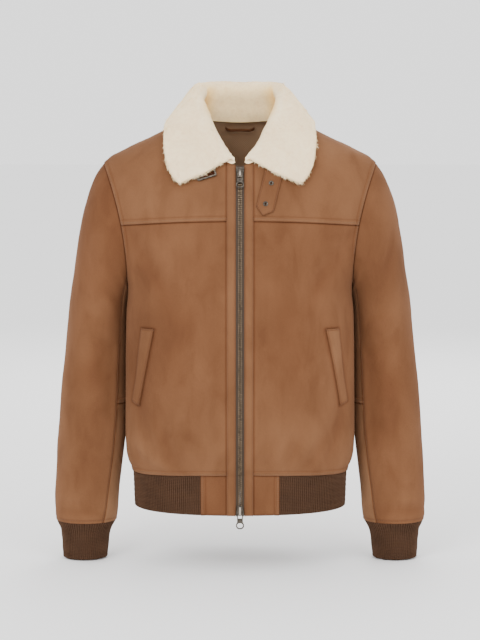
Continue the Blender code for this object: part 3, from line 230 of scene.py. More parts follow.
def bodyOut(points, face):
    x, y = points[..., 0], points[..., 1]
    nudge = 0.0004
    z = np.clip(points[..., 2], bodyShape["hem"] + nudge, bodyShape["neckPoint"] - nudge)

    def inside(height):
        halfWidth, depth, square = bodySection(height, face)
        return (np.abs(x) / halfWidth) ** square + (np.abs(y) / depth) ** square

    halfWidth, depth, square = bodySection(z, face)
    away = (
        np.sign(x) * square * np.abs(x) ** (square - 1) / halfWidth**square,
        np.sign(y) * square * np.abs(y) ** (square - 1) / depth**square,
        (inside(z + nudge) - inside(z - nudge)) / (2 * nudge),
    )
    return unit(np.stack(away, axis=-1))


def bodyHeight(x, y, face):
    low, high = np.full(np.shape(x), -0.16), np.full(np.shape(x), bodyShape["neckPoint"])
    for _ in range(36):
        middle = (low + high) / 2
        halfWidth, depth, square = bodySection(middle, face)
        outside = (np.abs(x) / halfWidth) ** square + (np.abs(y) / depth) ** square > 1
        low, high = np.where(outside, low, middle), np.where(outside, middle, high)
    return (low + high) / 2


def neckline(angle):
    # the neck seam: angle 0 is the middle of the front, 180 the middle of the back
    turn = np.radians(angle)
    inFront = np.cos(turn) > 0
    x = bodyShape["neckHalfWidth"] * np.sin(turn)
    y = -np.where(inFront, bodyShape["frontNeckDepth"], bodyShape["backNeckDepth"]) * np.cos(turn)
    height = np.where(inFront, bodyHeight(x, y, front), bodyHeight(x, y, back))
    return np.stack((x, y, height), axis=-1)


def sleevePoint(station, turn):
    # turn 0 is the sleeve's top line, 90 its front and 180 its inner line
    outerX, outerZ, innerX, innerZ, centreY, halfDepth, hollow = (
        curve(sleeveShape, column, station) for column in range(1, 8)
    )
    cosine, sine = np.cos(np.radians(turn)), np.sin(np.radians(turn))
    x = (outerX + innerX) / 2 + (outerX - innerX) / 2 * cosine - hollow * sine**2
    z = (outerZ + innerZ) / 2 + (outerZ - innerZ) / 2 * cosine
    return np.stack(np.broadcast_arrays(x, centreY - halfDepth * sine, z), axis=-1)


def sleeveOut(station, turn):
    step = 0.02
    ahead = sleevePoint(np.clip(station + step, 0, lastStation), turn)
    behind = sleevePoint(np.clip(station - step, 0, lastStation), turn)
    across = sleevePoint(station, turn + 1) - sleevePoint(station, turn - 1)
    return unit(np.cross(across, ahead - behind))


def armholeOut(turn):
    # the body and the sleeve share their directions at the shoulder, so that their edges meet
    points = sleevePoint(np.zeros(np.shape(turn)), turn)
    inFront = (np.sin(np.radians(turn)) >= 0)[..., None]
    body = np.where(inFront, bodyOut(points, front), bodyOut(points, back))
    sleeve = sleeveOut(np.full(np.shape(turn), 0.3), turn)
    # close to the underarm each keeps its own direction
    fromUnderarm = 180 - np.abs((np.asarray(turn) + 180) % 360 - 180)
    share = np.clip((fromUnderarm - 30) / 40, 0, 1)[..., None]
    return unit(sleeve + share * body), unit(body + share * sleeve)


# folds and creases of the worn cloth
creases = {
    "front": (
        # side, x, height, lean in degrees, length, width, rise
        (-1, 0.120, -0.545, -18, 0.050, 0.0120, -0.0040),
        (-1, 0.150, -0.560, -50, 0.045, 0.0100, 0.0030),
        (1, 0.130, -0.550, 35, 0.050, 0.0120, -0.0035),
        (1, 0.165, -0.520, 12, 0.070, 0.0130, -0.0030),
        (-1, 0.175, -0.430, -8, 0.110, 0.0140, -0.0030),
        (1, 0.178, -0.400, 8, 0.120, 0.0140, -0.0030),
        (-1, 0.155, -0.235, -35, 0.080, 0.0160, -0.0035),
        (1, 0.152, -0.240, 35, 0.080, 0.0160, -0.0035),
        (-1, 0.085, -0.330, 12, 0.120, 0.0220, -0.0025),
        (1, 0.080, -0.360, -10, 0.130, 0.0220, -0.0025),
        (-1, 0.098, -0.552, 24, 0.026, 0.0060, -0.0016),
        (-1, 0.136, -0.528, -32, 0.040, 0.0055, 0.0012),
        (-1, 0.060, -0.556, 8, 0.024, 0.0070, -0.0013),
        (-1, 0.172, -0.556, -20, 0.026, 0.0050, -0.0013),
        (1, 0.052, -0.554, -14, 0.026, 0.0070, -0.0012),
        (1, 0.088, -0.548, 20, 0.032, 0.0065, -0.0016),
        (1, 0.112, -0.540, 30, 0.030, 0.0055, 0.0012),
        (1, 0.150, -0.554, 26, 0.030, 0.0055, -0.0014),
        (-1, 0.070, -0.470, 14, 0.060, 0.0120, -0.0011),
        (1, 0.062, -0.440, -12, 0.070, 0.0120, -0.0011),
        (-1, 0.122, -0.300, -22, 0.050, 0.0090, -0.0010),
        (1, 0.120, -0.290, 24, 0.050, 0.0090, -0.0010),
    ),
    "back": (
        (-1, 0.130, -0.535, -25, 0.070, 0.0140, -0.0040),
        (1, 0.120, -0.545, 22, 0.060, 0.0140, -0.0040),
        (-1, 0.060, -0.540, -10, 0.060, 0.0160, -0.0030),
        (1, 0.045, -0.530, 12, 0.070, 0.0160, -0.0030),
        (-1, 0.150, -0.250, -40, 0.090, 0.0180, -0.0040),
        (1, 0.152, -0.245, 38, 0.090, 0.0180, -0.0040),
        (-1, 0.020, -0.548, 6, 0.030, 0.0080, -0.0014),
        (-1, 0.096, -0.552, 18, 0.028, 0.0070, -0.0014),
        (1, 0.086, -0.550, -16, 0.030, 0.0070, -0.0014),
        (1, 0.155, -0.548, 28, 0.030, 0.0070, -0.0014),
    ),
    "sleeve": (
        # side, station, turn in degrees, station length, turn width, rise
        (-1, 8.7, 120, 0.45, 40, -0.0045),
        (-1, 9.5, 105, 0.40, 48, -0.0050),
        (-1, 10.3, 125, 0.40, 42, -0.0045),
        (-1, 5.0, 60, 1.10, 26, -0.0030),
        (-1, 13.0, 70, 0.35, 60, -0.0030),
        (1, 8.9, 118, 0.45, 44, -0.0045),
        (1, 9.8, 102, 0.40, 46, -0.0050),
        (1, 10.7, 128, 0.40, 40, -0.0045),
        (1, 4.6, 64, 1.10, 26, -0.0030),
        (1, 12.9, 60, 0.35, 60, -0.0030),
        (-1, 9.3, 215, 0.45, 34, -0.0040),
        (1, 9.5, 218, 0.45, 34, -0.0040),
        (-1, 10.6, 225, 0.40, 30, -0.0035),
        (1, 10.9, 228, 0.40, 30, -0.0035),
        (-1, 11.4, 95, 0.22, 34, -0.0016),
        (-1, 12.2, 60, 0.20, 40, 0.0014),
        (-1, 7.4, 100, 0.30, 30, -0.0016),
        (1, 11.5, 92, 0.22, 34, -0.0016),
        (1, 12.3, 66, 0.20, 40, 0.0014),
        (1, 7.2, 104, 0.30, 30, -0.0016),
    ),
    # size of the fine unevenness all over, and the place round it in metres
    "unevenRise": 0.0009,
    "unevenSize": 0.042,
    "fineRise": 0.00028,
    "fineSize": 0.013,
}


def uneven(points):
    # the gentle waviness of cloth that has been worn
    flat = points.reshape(-1, 3)
    moved = np.empty(len(flat))
    wide, fine = 1 / creases["unevenSize"], 1 / creases["fineSize"]
    for i, (x, y, z) in enumerate(flat):
        slow = noise.noise((x * wide * 1.25, y * wide, z * wide * 0.7))
        quick = noise.noise((x * fine, y * fine, z * fine * 0.8))
        moved[i] = creases["unevenRise"] * slow + creases["fineRise"] * quick
    return moved.reshape(points.shape[:-1])


def bodyFolds(points, face):
    # how far the worn cloth stands off its plain form, at places on the front or the back
    moved = np.zeros(points.shape[:-1])
    for side, x, height, lean, length, width, rise in creases["front" if face == front else "back"]:
        along = np.array((math.sin(math.radians(lean)), math.cos(math.radians(lean))))
        offset = points[..., [0, 2]] - np.array((side * x, height))
        forward, across = offset @ along, offset @ np.array((along[1], -along[0]))
        moved = moved + rise * np.exp(-((forward / length) ** 2) - (across / width) ** 2)
    height, reach = points[..., 2], np.abs(points[..., 0])
    # the folds die out at the seams, and under the pieces that lie on the yoke
    seamHigh = np.where(face == front, bodyShape["yokeSeam"] - 0.004, -0.05)
    inPanel = ease((height - bodyShape["hemSeam"] + 0.004) / 0.02) * ease((seamHigh - height) / 0.02)
    fromSide = ease((bodyEdge(height)[0] - reach) / 0.014)
    fromFacing = ease((reach - 0.012) / 0.016) if face == front else 1.0
    calm = ease((np.hypot(reach - 0.048, (height + 0.115) * 0.8) - 0.03) / 0.03) if face == front else 1.0
    return (moved * inPanel * fromFacing + uneven(points) * calm * ease((-0.02 - height) / 0.02)) * fromSide


def sleeveFolds(side, station, turn, points):
    moved = np.zeros(np.broadcast(station, turn).shape)
    for foldSide, at, middle, length, width, rise in creases["sleeve"]:
        if foldSide == side:
            away = (turn - middle + 180) % 360 - 180
            moved = moved + rise * np.exp(-(((station - at) / length) ** 2) - (away / width) ** 2)
    return (moved + 1.3 * uneven(points + side)) * ease(station / 0.5) * ease((lastStation - station) / 0.3)


# walls of cloth
def placed(name, data):
    thing = bpy.data.objects.new(name, data)
    bpy.context.scene.collection.objects.link(thing)
    return thing


def pieceMesh(name, points, faces, materials, picks=None):
    mesh = bpy.data.meshes.new(name)
    mesh.from_pydata(points.tolist(), [], faces)
    for material in materials:
        mesh.materials.append(material)
    if picks is not None:
        mesh.polygons.foreach_set("material_index", picks)
    shaped = bmesh.new()
    shaped.from_mesh(mesh)
    bmesh.ops.recalc_face_normals(shaped, faces=shaped.faces)
    shaped.to_mesh(mesh)
    shaped.free()
    mesh.shade_smooth()
    mesh.set_sharp_from_angle(angle=math.radians(50))
    # the painted shade and tone of each place, 1 where there is none
    tone = mesh.attributes.new("shadeAndTone", "FLOAT", "POINT")
    tone.data.foreach_set("value", np.ones(len(mesh.vertices), np.float32))
    return placed(name, mesh)


def clothWall(name, outer, inner, materials, ring=False, shade=None):
    # the first material is on the outside and the edges, the second on the inside
    rows, columns = outer.shape[:2]
    number = np.arange(rows * columns).reshape(rows, columns)
    nextColumn = np.roll(number, -1, axis=1) if ring else number[:, 1:]
    here = number if ring else number[:, :-1]
    a, b, c, d = here[:-1].ravel(), nextColumn[:-1].ravel(), nextColumn[1:].ravel(), here[1:].ravel()
    total = rows * columns
    outside = np.stack((a, b, c, d), axis=1)
    inside = outside[:, ::-1] + total
    edges = []
    for row in (0, -1):
        p, q = here[row], nextColumn[row]
        edges.append(np.stack((p, q, q + total, p + total), axis=1))
    if not ring:
        for column in (0, -1):
            p, q = number[:-1, column], number[1:, column]
            edges.append(np.stack((p, q, q + total, p + total), axis=1))
    edges = np.concatenate(edges)
    faces = np.concatenate((outside, inside, edges)).tolist()
    picks = np.zeros(len(faces), np.int32)
    if len(materials) > 1:
        picks[len(outside):2 * len(outside)] = 1
    points = np.concatenate((outer.reshape(-1, 3), inner.reshape(-1, 3)))
    piece = pieceMesh(name, points, faces, materials, picks)
    values = np.ones(2 * total, np.float32)
    if shade is not None:
        values[:total] = shade.ravel()
    piece.data.attributes["shadeAndTone"].data.foreach_set("value", values)
    return piece


def sideDistances(points):
    # how far each place is from the low, high, left and right edges, along the cloth
    across = np.linalg.norm(np.diff(points, axis=1), axis=-1)
    up = np.linalg.norm(np.diff(points, axis=0), axis=-1)
    fromLeft = np.concatenate((np.zeros((len(points), 1)), np.cumsum(across, axis=1)), axis=1)
    fromLow = np.concatenate((np.zeros((1, points.shape[1])), np.cumsum(up, axis=0)), axis=0)
    return {
        "low": fromLow,
        "high": fromLow[-1:] - fromLow,
        "left": fromLeft,
        "right": fromLeft[:, -1:] - fromLeft,
    }


seams = {
    "lapWidth": 0.0066,
    "lapRise": 0.0013,
    "lapStep": 0.0016,
    # rows of stitches, by their distance from the edge
    "stitchIn": 0.0050,
    "edgeStitchIn": 0.0021,
    "hemStitchIn": 0.0058,
    "stitchDip": 0.00045,
    "dipWidth": 0.0007,
    "pucker": 0.00022,
    "puckerPitch": 0.0085,
    # painted shade in the hollows of folds and a painted highlight on their crests
    "foldShade": 26.0,  # how much darker the cloth is in its folds, for each metre of depth
    "foldShadeRange": (-0.13, 0.06),  # the most that a hollow darkens and a crest lightens
}
# what a seam's kind gives its edge: the depth and width over which it turns down, its rows of stitches,
# its puckers' middle and width, and its painted shadows' strength, distance and width, where a negative
# strength is a painted highlight
seamKinds = {
    "lap": {  # a raised band over the seam
        "turnDown": (0.0013, 0.0012),
        "rows": ("stitchIn", "edgeStitchIn"),
        "puckers": (0.0105, 0.004),
        # painted shadows at the edge and beyond the band, and a painted highlight on the band
        "shadows": ((0.38, 0, 0.0009), (0.15, 0.0088, 0.0012), (-0.10, 0.0032, 0.0017)),
    },
    "under": {  # tucked below its neighbour
        "turnDown": (0.0011, 0.0026),
        "rows": (),
        "puckers": (0.004, 0.003),
        "shadows": ((0.50, 0, 0.0016),),
    },
    "edge": {  # turned in and stitched along
        "turnDown": (0.0010, 0.0013),
        "rows": ("edgeStitchIn",),
        "shadows": ((0.18, seams["edgeStitchIn"], 0.0009), (0.25, 0, 0.0007)),
    },
    "free": {  # a turned end with its stitches further in
        "turnDown": (0.0010, 0.0013),
        "rows": ("hemStitchIn",),
        "shadows": ((0.18, seams["hemStitchIn"], 0.0009), (0.25, 0, 0.0007)),
    },
}


def styleOf(style):
    # a seam's style may carry its strength, one number or one for each place along it
    return style if isinstance(style, tuple) else (style, 1.0)


def seamRelief(points, styles):
    # the rise beside seams, and how dark the cloth is there: painted shade, with a painted highlight on the
    # raised band of a lapped seam
    distances = sideDistances(points)
    rise, drop = np.zeros(points.shape[:2]), np.zeros(points.shape[:2])
    tone = np.ones(points.shape[:2])
    ripple = np.sin(points @ np.array((1.0, 0.6, 0.8)) * 2 * math.pi / seams["puckerPitch"])

    def band(d, middle, width):
        return np.exp(-(((d - middle) / width) ** 2))

    for edge, style in styles.items():
        kind, strength = styleOf(style)
        look, d = seamKinds[kind], distances[edge]
        if kind == "lap":
            raised = ease((seams["lapWidth"] + seams["lapStep"] - d) / seams["lapStep"])
            rise = np.maximum(rise, strength * seams["lapRise"] * raised)
        if "puckers" in look:
            rise = rise + strength * seams["pucker"] * ripple * band(d, *look["puckers"])
        depth, reach = look["turnDown"]
        drop += strength * depth * np.clip(1 - d / reach, 0, 1) ** 2
        for row in look["rows"]:
            drop += strength * seams["stitchDip"] * band(d, seams[row], seams["dipWidth"])
        shadow = sum(share * band(d, middle, width) for share, middle, width in look["shadows"])
        tone = tone * (1 - strength * shadow)
    return rise - drop, tone


def rowAt(points, edge, distance):
    # the line on the cloth at a distance from one edge
    d = sideDistances(points)[edge]
    if edge in ("left", "right"):
        points, d = points.transpose(1, 0, 2), d.T
    if edge in ("high", "right"):
        points, d = points[::-1], d[::-1]
    line = [[np.interp(distance, d[:, j], points[:, j, k]) for k in range(3)] for j in range(points.shape[1])]
    return np.array(line)


stitchLines = {"front": [], "back": [], "sleeves": []}


def sewnPanel(name, points, out, thickness, materials, styles, moved, side=1, stitched="front", darker=1.0):
    # a panel of cloth with its folds, seams and stitch rows; the left one is mirrored for the right
    relief, tone = seamRelief(points, styles)
    moved = np.asarray(moved)
    # painted shade: the seams' shadows, the piece's own shading, and darker hollows and paler crests of its
    # folds
    tone = tone * darker * (1 + np.clip((moved - np.median(moved)) * seams["foldShade"], *seams["foldShadeRange"]))
    form = mirrored(points, side) + mirrored(out, side) * moved[..., None]
    away = mirrored(out, side)
    outer = form + away * relief[..., None]
    inner = form - away * thickness
    for edge, style in styles.items():
        kind, strength = styleOf(style)
        for row in seamKinds[kind]["rows"]:
            line = rowAt(outer + away * 0.0001, edge, seams[row])
            line = line[np.broadcast_to(np.ravel(strength), len(line)) >= 0.5]
            if len(line) > 2:
                stitchLines[stitched].append(line)
    return clothWall(name, outer, inner, materials, shade=tone)


def carry(piece):
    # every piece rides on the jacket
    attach(piece, "jacket")


def declare(piece, node, cut=None):
    # stands for its node, whose part it hides; given a cut, a width and a length, it measures the piece's
    # area, which nothing uses
    carry(piece)
    if node:
        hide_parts(node)
    if cut:
        measured = bmesh.new()
        measured.from_mesh(piece.data)
        area = sum(face.calc_area() for face in measured.faces) / 2  # an outer and an inner face
        measured.free()


# finishes
def newFinish(name):
    material = bpy.data.materials.new(name)
    material.use_nodes = True
    tree = material.node_tree
    shader = tree.nodes["Principled BSDF"]
    place = tree.nodes.new("ShaderNodeTexCoord").outputs["Object"]
    return material, tree, shader, place


def stretched(tree, place, scale):
    mapping = tree.nodes.new("ShaderNodeMapping")
    mapping.inputs["Scale"].default_value = scale
    tree.links.new(place, mapping.inputs["Vector"])
    return mapping.outputs["Vector"]


def noiseNode(tree, place, scale, detail=3.0, roughness=0.55, distortion=0.0):
    node = tree.nodes.new("ShaderNodeTexNoise")
    node.inputs["Scale"].default_value = scale
    node.inputs["Detail"].default_value = detail
    node.inputs["Roughness"].default_value = roughness
    node.inputs["Distortion"].default_value = distortion
    tree.links.new(place, node.inputs["Vector"])
    return node.outputs["Fac"]


def ramp(tree, value, stops):
    node = tree.nodes.new("ShaderNodeValToRGB")
    while len(node.color_ramp.elements) < len(stops):
        node.color_ramp.elements.new(0.5)
    for element, (at, colour) in zip(node.color_ramp.elements, stops):
        element.position = at
        element.color = (*colour, 1)
    tree.links.new(value, node.inputs["Fac"])
    return node.outputs["Color"]


def mathNode(tree, operation, first, second):
    node = tree.nodes.new("ShaderNodeMath")
    node.operation = operation
    for socket, value in zip(node.inputs, (first, second)):
        if isinstance(value, (int, float)):
            socket.default_value = value
        else:
            tree.links.new(value, socket)
    return node.outputs["Value"]


def multiplied(tree, factor, first, second):
    node = tree.nodes.new("ShaderNodeMix")
    node.data_type = "RGBA"
    node.blend_type = "MULTIPLY"
    for socket, value in ((node.inputs[0], factor), (node.inputs[6], first), (node.inputs[7], second)):
        if isinstance(value, tuple):
            socket.default_value = (*value, 1)
        elif isinstance(value, (int, float)):
            socket.default_value = value
        else:
            tree.links.new(value, socket)
    return node.outputs[2]


def mottled(tree, strength, colour, pattern, stops):
    return multiplied(tree, strength, colour, ramp(tree, pattern, stops))


def greys(*stops):
    return tuple((at, (value, value, value)) for at, value in stops)


def setAll(shader, values):
    for socket, value in values.items():
        shader.inputs[socket].default_value = value


def bumped(tree, shader, height, strength, distance):
    node = tree.nodes.new("ShaderNodeBump")
    node.inputs["Strength"].default_value = strength
    node.inputs["Distance"].default_value = distance
    tree.links.new(height, node.inputs["Height"])
    tree.links.new(node.outputs["Normal"], shader.inputs["Normal"])


suedeLook = {
    "dark": (0.1233, 0.0521, 0.0227),
    "middle": (0.1528, 0.0677, 0.0308),
    "light": (0.1788, 0.0825, 0.0391),
    "sheenTint": (0.75, 0.42, 0.25),
    "patchSize": 0.120,
    "brushSize": 0.034,
    "napSize": 0.0011,
    "roughness": 0.92,
    "sheen": 0.10,
    # darker cloth is redder: its green and blue fall faster
    "falls": (1.0, 1.45, 1.80),
    "smudges": ((0.30, (0.86, 0.83, 0.80)), (0.52, (1.0, 1.0, 1.0)), (0.76, (1.08, 1.10, 1.12))),
    "fibres": ((0.30, (0.84, 0.83, 0.82)), (0.70, (1.14, 1.15, 1.16))),
}
bandsPerScale = 3.14  # bands in a metre of a wave texture of scale 1


def toneColour(tree, falls):
    # the painted shade and tone kept on the mesh, as a colour
    tone = tree.nodes.new("ShaderNodeAttribute")
    tone.attribute_name = "shadeAndTone"
    colour = tree.nodes.new("ShaderNodeCombineColor")
    for socket, fall in zip(colour.inputs, falls):
        tree.links.new(mathNode(tree, "POWER", tone.outputs["Fac"], fall), socket)
    return colour.outputs["Color"]


def suedeFinish(name, tint=1.0):
    material, tree, shader, place = newFinish(name)
    look = suedeLook
    patches = noiseNode(tree, stretched(tree, place, (1.0, 1.0, 0.62)), 1 / look["patchSize"], 2, 0.5, 0.25)
    colour = ramp(tree, patches, ((0.28, look["dark"]), (0.50, look["middle"]), (0.74, look["light"])))
    # brushed nap: soft smudges that run down the hide
    brushed = noiseNode(tree, stretched(tree, place, (1.0, 1.0, 0.50)), 1 / look["brushSize"], 3, 0.5, 0.5)
    colour = mottled(tree, 1.0, colour, brushed, look["smudges"])
    nap = noiseNode(tree, place, 1 / look["napSize"], 3, 0.7)
    colour = mottled(tree, 0.75, colour, nap, look["fibres"])
    # painted shade and tone from the mesh darken the colour
    colour = multiplied(tree, 1.0, colour, toneColour(tree, look["falls"]))
    colour = multiplied(tree, 1.0, colour, tuple(tint**fall for fall in look["falls"]))
    tree.links.new(colour, shader.inputs["Base Color"])
    setAll(shader, {
        "Roughness": look["roughness"],
        "Sheen Weight": look["sheen"],
        "Sheen Roughness": 0.45,
        "Sheen Tint": (*look["sheenTint"], 1),
        "Specular IOR Level": 0.12,
    })
    pores = noiseNode(tree, place, 420, 5, 0.7)
    bumped(tree, shader, mathNode(tree, "ADD", mathNode(tree, "MULTIPLY", nap, 0.6), pores), 0.55, 0.0004)
    return material


def knitFinish(name, dark, pale, wales):
    # ribs of loops: fine bars across each rib, broken up by fuzz
    material, tree, shader, place = newFinish(name)
    bars = tree.nodes.new("ShaderNodeTexWave")
    bars.bands_direction = "Z"
    setAll(bars, {"Scale": 1 / wales / bandsPerScale, "Distortion": 1.6, "Detail": 2, "Detail Scale": 2.0})
    tree.links.new(place, bars.inputs["Vector"])
    fuzz = noiseNode(tree, place, 900, 4, 0.7)
    soft = noiseNode(tree, place, 30, 3, 0.6)
    colour = ramp(tree, bars.outputs["Fac"], ((0.15, dark), (0.85, pale)))
    colour = mottled(tree, 0.8, colour, fuzz, greys((0.25, 0.82), (0.75, 1.15)))
    colour = mottled(tree, 0.8, colour, soft, ((0.3, (0.82, 0.82, 0.82)), (0.7, (1.12, 1.1, 1.08))))
    tree.links.new(colour, shader.inputs["Base Color"])
    setAll(shader, {
        "Roughness": 0.9,
        "Sheen Weight": 0.10,
        "Sheen Roughness": 0.5,
        "Sheen Tint": (0.6, 0.36, 0.24, 1),
        "Specular IOR Level": 0.1,
    })
    bumped(tree, shader, mathNode(tree, "ADD", bars.outputs["Fac"], fuzz), 0.45, 0.0004)
    return material


def fleeceFinish(name, low, pale, toned=False):
    material, tree, shader, place = newFinish(name)
    tufts = noiseNode(tree, place, 150, 4, 0.65, 0.6)
    clouds = noiseNode(tree, place, 22, 3, 0.6)
    colour = ramp(tree, tufts, ((0.28, low), (0.62, pale)))
    colour = mottled(tree, 0.7, colour, clouds, ((0.3, (0.90, 0.87, 0.82)), (0.7, (1.03, 1.03, 1.03))))
    # the collar's tan and its painted shade, kept on the mesh
    if toned:
        colour = multiplied(tree, 1.0, colour, toneColour(tree, (0.2, 0.9, 2.6)))
    tree.links.new(colour, shader.inputs["Base Color"])
    setAll(shader, {
        "Roughness": 0.95,
        "Sheen Weight": 0.20,
        "Sheen Roughness": 0.6,
        "Sheen Tint": (1.0, 0.93, 0.82, 1),
        "Specular IOR Level": 0.15,
        "Subsurface Weight": 0.12,
        "Subsurface Radius": (0.004, 0.003, 0.002),
    })
    bumped(tree, shader, tufts, 0.5, 0.0012)
    return material


def wovenFinish(name, dark, pale, pitch, gloss=0.75):
    # a fine twill for the lining and the zip tape
    material, tree, shader, place = newFinish(name)
    height = None
    for lean in ((1.0, 0.35, 1.0), (1.0, -0.35, -1.0)):
        wave = tree.nodes.new("ShaderNodeTexWave")
        wave.bands_direction = "DIAGONAL"
        setAll(wave, {"Scale": 1 / pitch / bandsPerScale, "Distortion": 0.4})
        tree.links.new(stretched(tree, place, lean), wave.inputs["Vector"])
        woven = wave.outputs["Fac"]
        height = woven if height is None else mathNode(tree, "MULTIPLY", height, woven)
    soft = noiseNode(tree, place, 18, 4, 0.6)
    colour = ramp(tree, height, ((0.1, dark), (0.8, pale)))
    colour = mottled(tree, 0.7, colour, soft, greys((0.3, 0.86), (0.7, 1.1)))
    tree.links.new(colour, shader.inputs["Base Color"])
    setAll(shader, {"Roughness": gloss, "Specular IOR Level": 0.3, "Sheen Weight": 0.1})
    bumped(tree, shader, height, 0.35, 0.0003)
    return material


def metalFinish(name, tones, roughness, paintedHighlight=None):
    # antiqued: dark in its hollows, rubbed pale and scratched where it is handled; given a painted highlight,
    # the part's front is painted paler still
    material, tree, shader, place = newFinish(name)
    dark, worn = tones
    cloudy = noiseNode(tree, place, 260, 5, 0.7, 0.4)
    scratches = noiseNode(tree, stretched(tree, place, (1.0, 1.0, 6.0)), 900, 3, 0.6)
    clouded = mathNode(tree, "MULTIPLY", cloudy, 0.75)
    wearAndHighlight = mathNode(tree, "ADD", clouded, mathNode(tree, "MULTIPLY", scratches, 0.25))
    stops = ((0.36, dark), (0.60, worn))
    # a painted highlight: paler towards the front of the part
    if paintedHighlight:
        frontY, depth = paintedHighlight
        parts = tree.nodes.new("ShaderNodeSeparateXYZ")
        tree.links.new(place, parts.inputs[0])
        forward = mathNode(tree, "SUBTRACT", frontY + depth, parts.outputs["Y"])
        highlightShare = mathNode(tree, "MULTIPLY", forward, 0.55 / depth)
        wearAndHighlight = mathNode(tree, "ADD", wearAndHighlight, mathNode(tree, "MAXIMUM", highlightShare, 0.0))
        stops += ((0.95, tuple(min(1.0, 3.4 * value) for value in worn)),)
    tree.links.new(ramp(tree, wearAndHighlight, stops), shader.inputs["Base Color"])
    shader.inputs["Metallic"].default_value = 1.0
    rough = mathNode(tree, "ADD", mathNode(tree, "MULTIPLY", cloudy, 0.25), roughness)
    tree.links.new(rough, shader.inputs["Roughness"])
    bumped(tree, shader, scratches, 0.15, 0.0001)
    return material


def threadFinish(name, colour):
    material, tree, shader, place = newFinish(name)
    ply = tree.nodes.new("ShaderNodeTexWave")
    ply.bands_direction = "DIAGONAL"
    ply.inputs["Scale"].default_value = 700
    tree.links.new(place, ply.inputs["Vector"])
    stops = ((0.1, tuple(0.6 * value for value in colour)), (0.7, colour))
    tree.links.new(ramp(tree, ply.outputs["Fac"], stops), shader.inputs["Base Color"])
    shader.inputs["Roughness"].default_value = 0.7
    bumped(tree, shader, ply.outputs["Fac"], 0.4, 0.0002)
    return material


metalTones = {
    # in its hollows, and where it is rubbed
    "dark": ((0.016, 0.0135, 0.011), (0.115, 0.098, 0.080)),
    "teeth": ((0.032, 0.022, 0.014), (0.240, 0.173, 0.110)),
    "buckle": ((0.024, 0.020, 0.016), (0.150, 0.130, 0.106)),
}
suede = suedeFinish("brushed_suede")
strapSuede = suedeFinish("strap_suede", 0.97)
loopLeather = suedeFinish("loop_leather", 0.24)
hangerLeather = suedeFinish("hanger_leather", 0.85)
knit = knitFinish("brown_rib_knit", (0.0460, 0.0225, 0.0124), (0.0725, 0.0368, 0.0204), 0.0026)
fleeceGround = fleeceFinish("fleece_ground", (0.90, 0.70, 0.43), (0.985, 0.80, 0.51), True)
fleecePile = fleeceFinish("fleece_pile", (0.93, 0.735, 0.455), (0.990, 0.845, 0.560))
lining = wovenFinish("taupe_lining", (0.310, 0.188, 0.106), (0.430, 0.269, 0.158), 0.0016, 0.6)
tape = wovenFinish("zip_tape_weave", (0.033, 0.0195, 0.0112), (0.065, 0.0395, 0.0237), 0.0011)
darkMetal = metalFinish("antique_metal", metalTones["dark"], 0.24)
teethMetal = metalFinish("antique_teeth", metalTones["teeth"], 0.28)
thread = threadFinish("tan_thread", (0.165, 0.078, 0.040))
print("finishes made")


# what repeats is grown by Geometry Nodes on lines and surfaces
def newTree(name, inputs):
    tree = bpy.data.node_groups.new(name, "GeometryNodeTree")
    tree.interface.new_socket(name="Geometry", in_out="INPUT", socket_type="NodeSocketGeometry")
    for label, kind, value in inputs:
        socket = tree.interface.new_socket(name=label, in_out="INPUT", socket_type=kind)
        if value is not None:
            socket.default_value = value
    tree.interface.new_socket(name="Geometry", in_out="OUTPUT", socket_type="NodeSocketGeometry")
    return tree, tree.nodes.new("NodeGroupInput"), tree.nodes.new("NodeGroupOutput")


def addNode(tree, kind, links=None, **settings):
    node = tree.nodes.new(kind)
    for key, value in settings.items():
        setattr(node, key, value)
    for socket, value in (links or {}).items():
        target = node.inputs[socket]
        if isinstance(value, bpy.types.NodeSocket):
            tree.links.new(value, target)
        else:
            target.default_value = value
    return node


def endTree(tree, geometry, start, finish):
    solid = addNode(tree, "GeometryNodeRealizeInstances", {0: geometry})
    painted = addNode(tree, "GeometryNodeSetMaterial", {
        "Geometry": solid.outputs[0], "Material": start.outputs["Finish"],
    })
    tree.links.new(painted.outputs[0], finish.inputs[0])
    return tree


def mathOf(tree, operation, *values):
    return addNode(tree, "ShaderNodeMath", dict(enumerate(values)), operation=operation).outputs[0]


def vectorOf(tree, operation, links):
    return addNode(tree, "ShaderNodeVectorMath", links, operation=operation).outputs[0]


def linePlaces(tree, start, mode, label, socket):
    # places along the lines of the host
    lines = addNode(tree, "GeometryNodeMeshToCurve", {0: start.outputs["Geometry"]})
    links = {"Curve": lines.outputs[0], label: start.outputs[socket]}
    return addNode(tree, "GeometryNodeResampleCurve", links, mode=mode)


def putAlong(tree, places, shape, **settings):
    # a shape at each place, turned along its line
    along = {"Vector": addNode(tree, "GeometryNodeInputTangent").outputs[0]}
    turned = addNode(tree, "FunctionNodeAlignRotationToVector", along, axis="Z", **settings)
    put = addNode(tree, "GeometryNodeInstanceOnPoints", {
        "Points": places.outputs[0], "Instance": shape.outputs[0], "Rotation": turned.outputs[0],
    })
    return put.outputs[0]


def grown(name, host, tree, values):
    modifier = host.modifiers.new(tree.name, "NODES")
    modifier.node_group = tree
    for item in tree.interface.items_tree:
        if item.item_type == "SOCKET" and item.in_out == "INPUT" and item.name in values:
            modifier[item.identifier] = values[item.name]
    graph = bpy.context.evaluated_depsgraph_get()
    mesh = bpy.data.meshes.new_from_object(host.evaluated_get(graph))
    mesh.name = name
    mesh.shade_smooth()
    bpy.data.objects.remove(host)
    print("grown", name, len(mesh.polygons), "faces")
    return placed(name, mesh)


def linesHost(name, lines):
    points = np.concatenate(lines)
    edges, start = [], 0
    for line in lines:
        edges += [(start + i, start + i + 1) for i in range(len(line) - 1)]
        start += len(line)
    mesh = bpy.data.meshes.new(name)
    mesh.from_pydata(points.tolist(), edges, [])
    return placed(name, mesh)


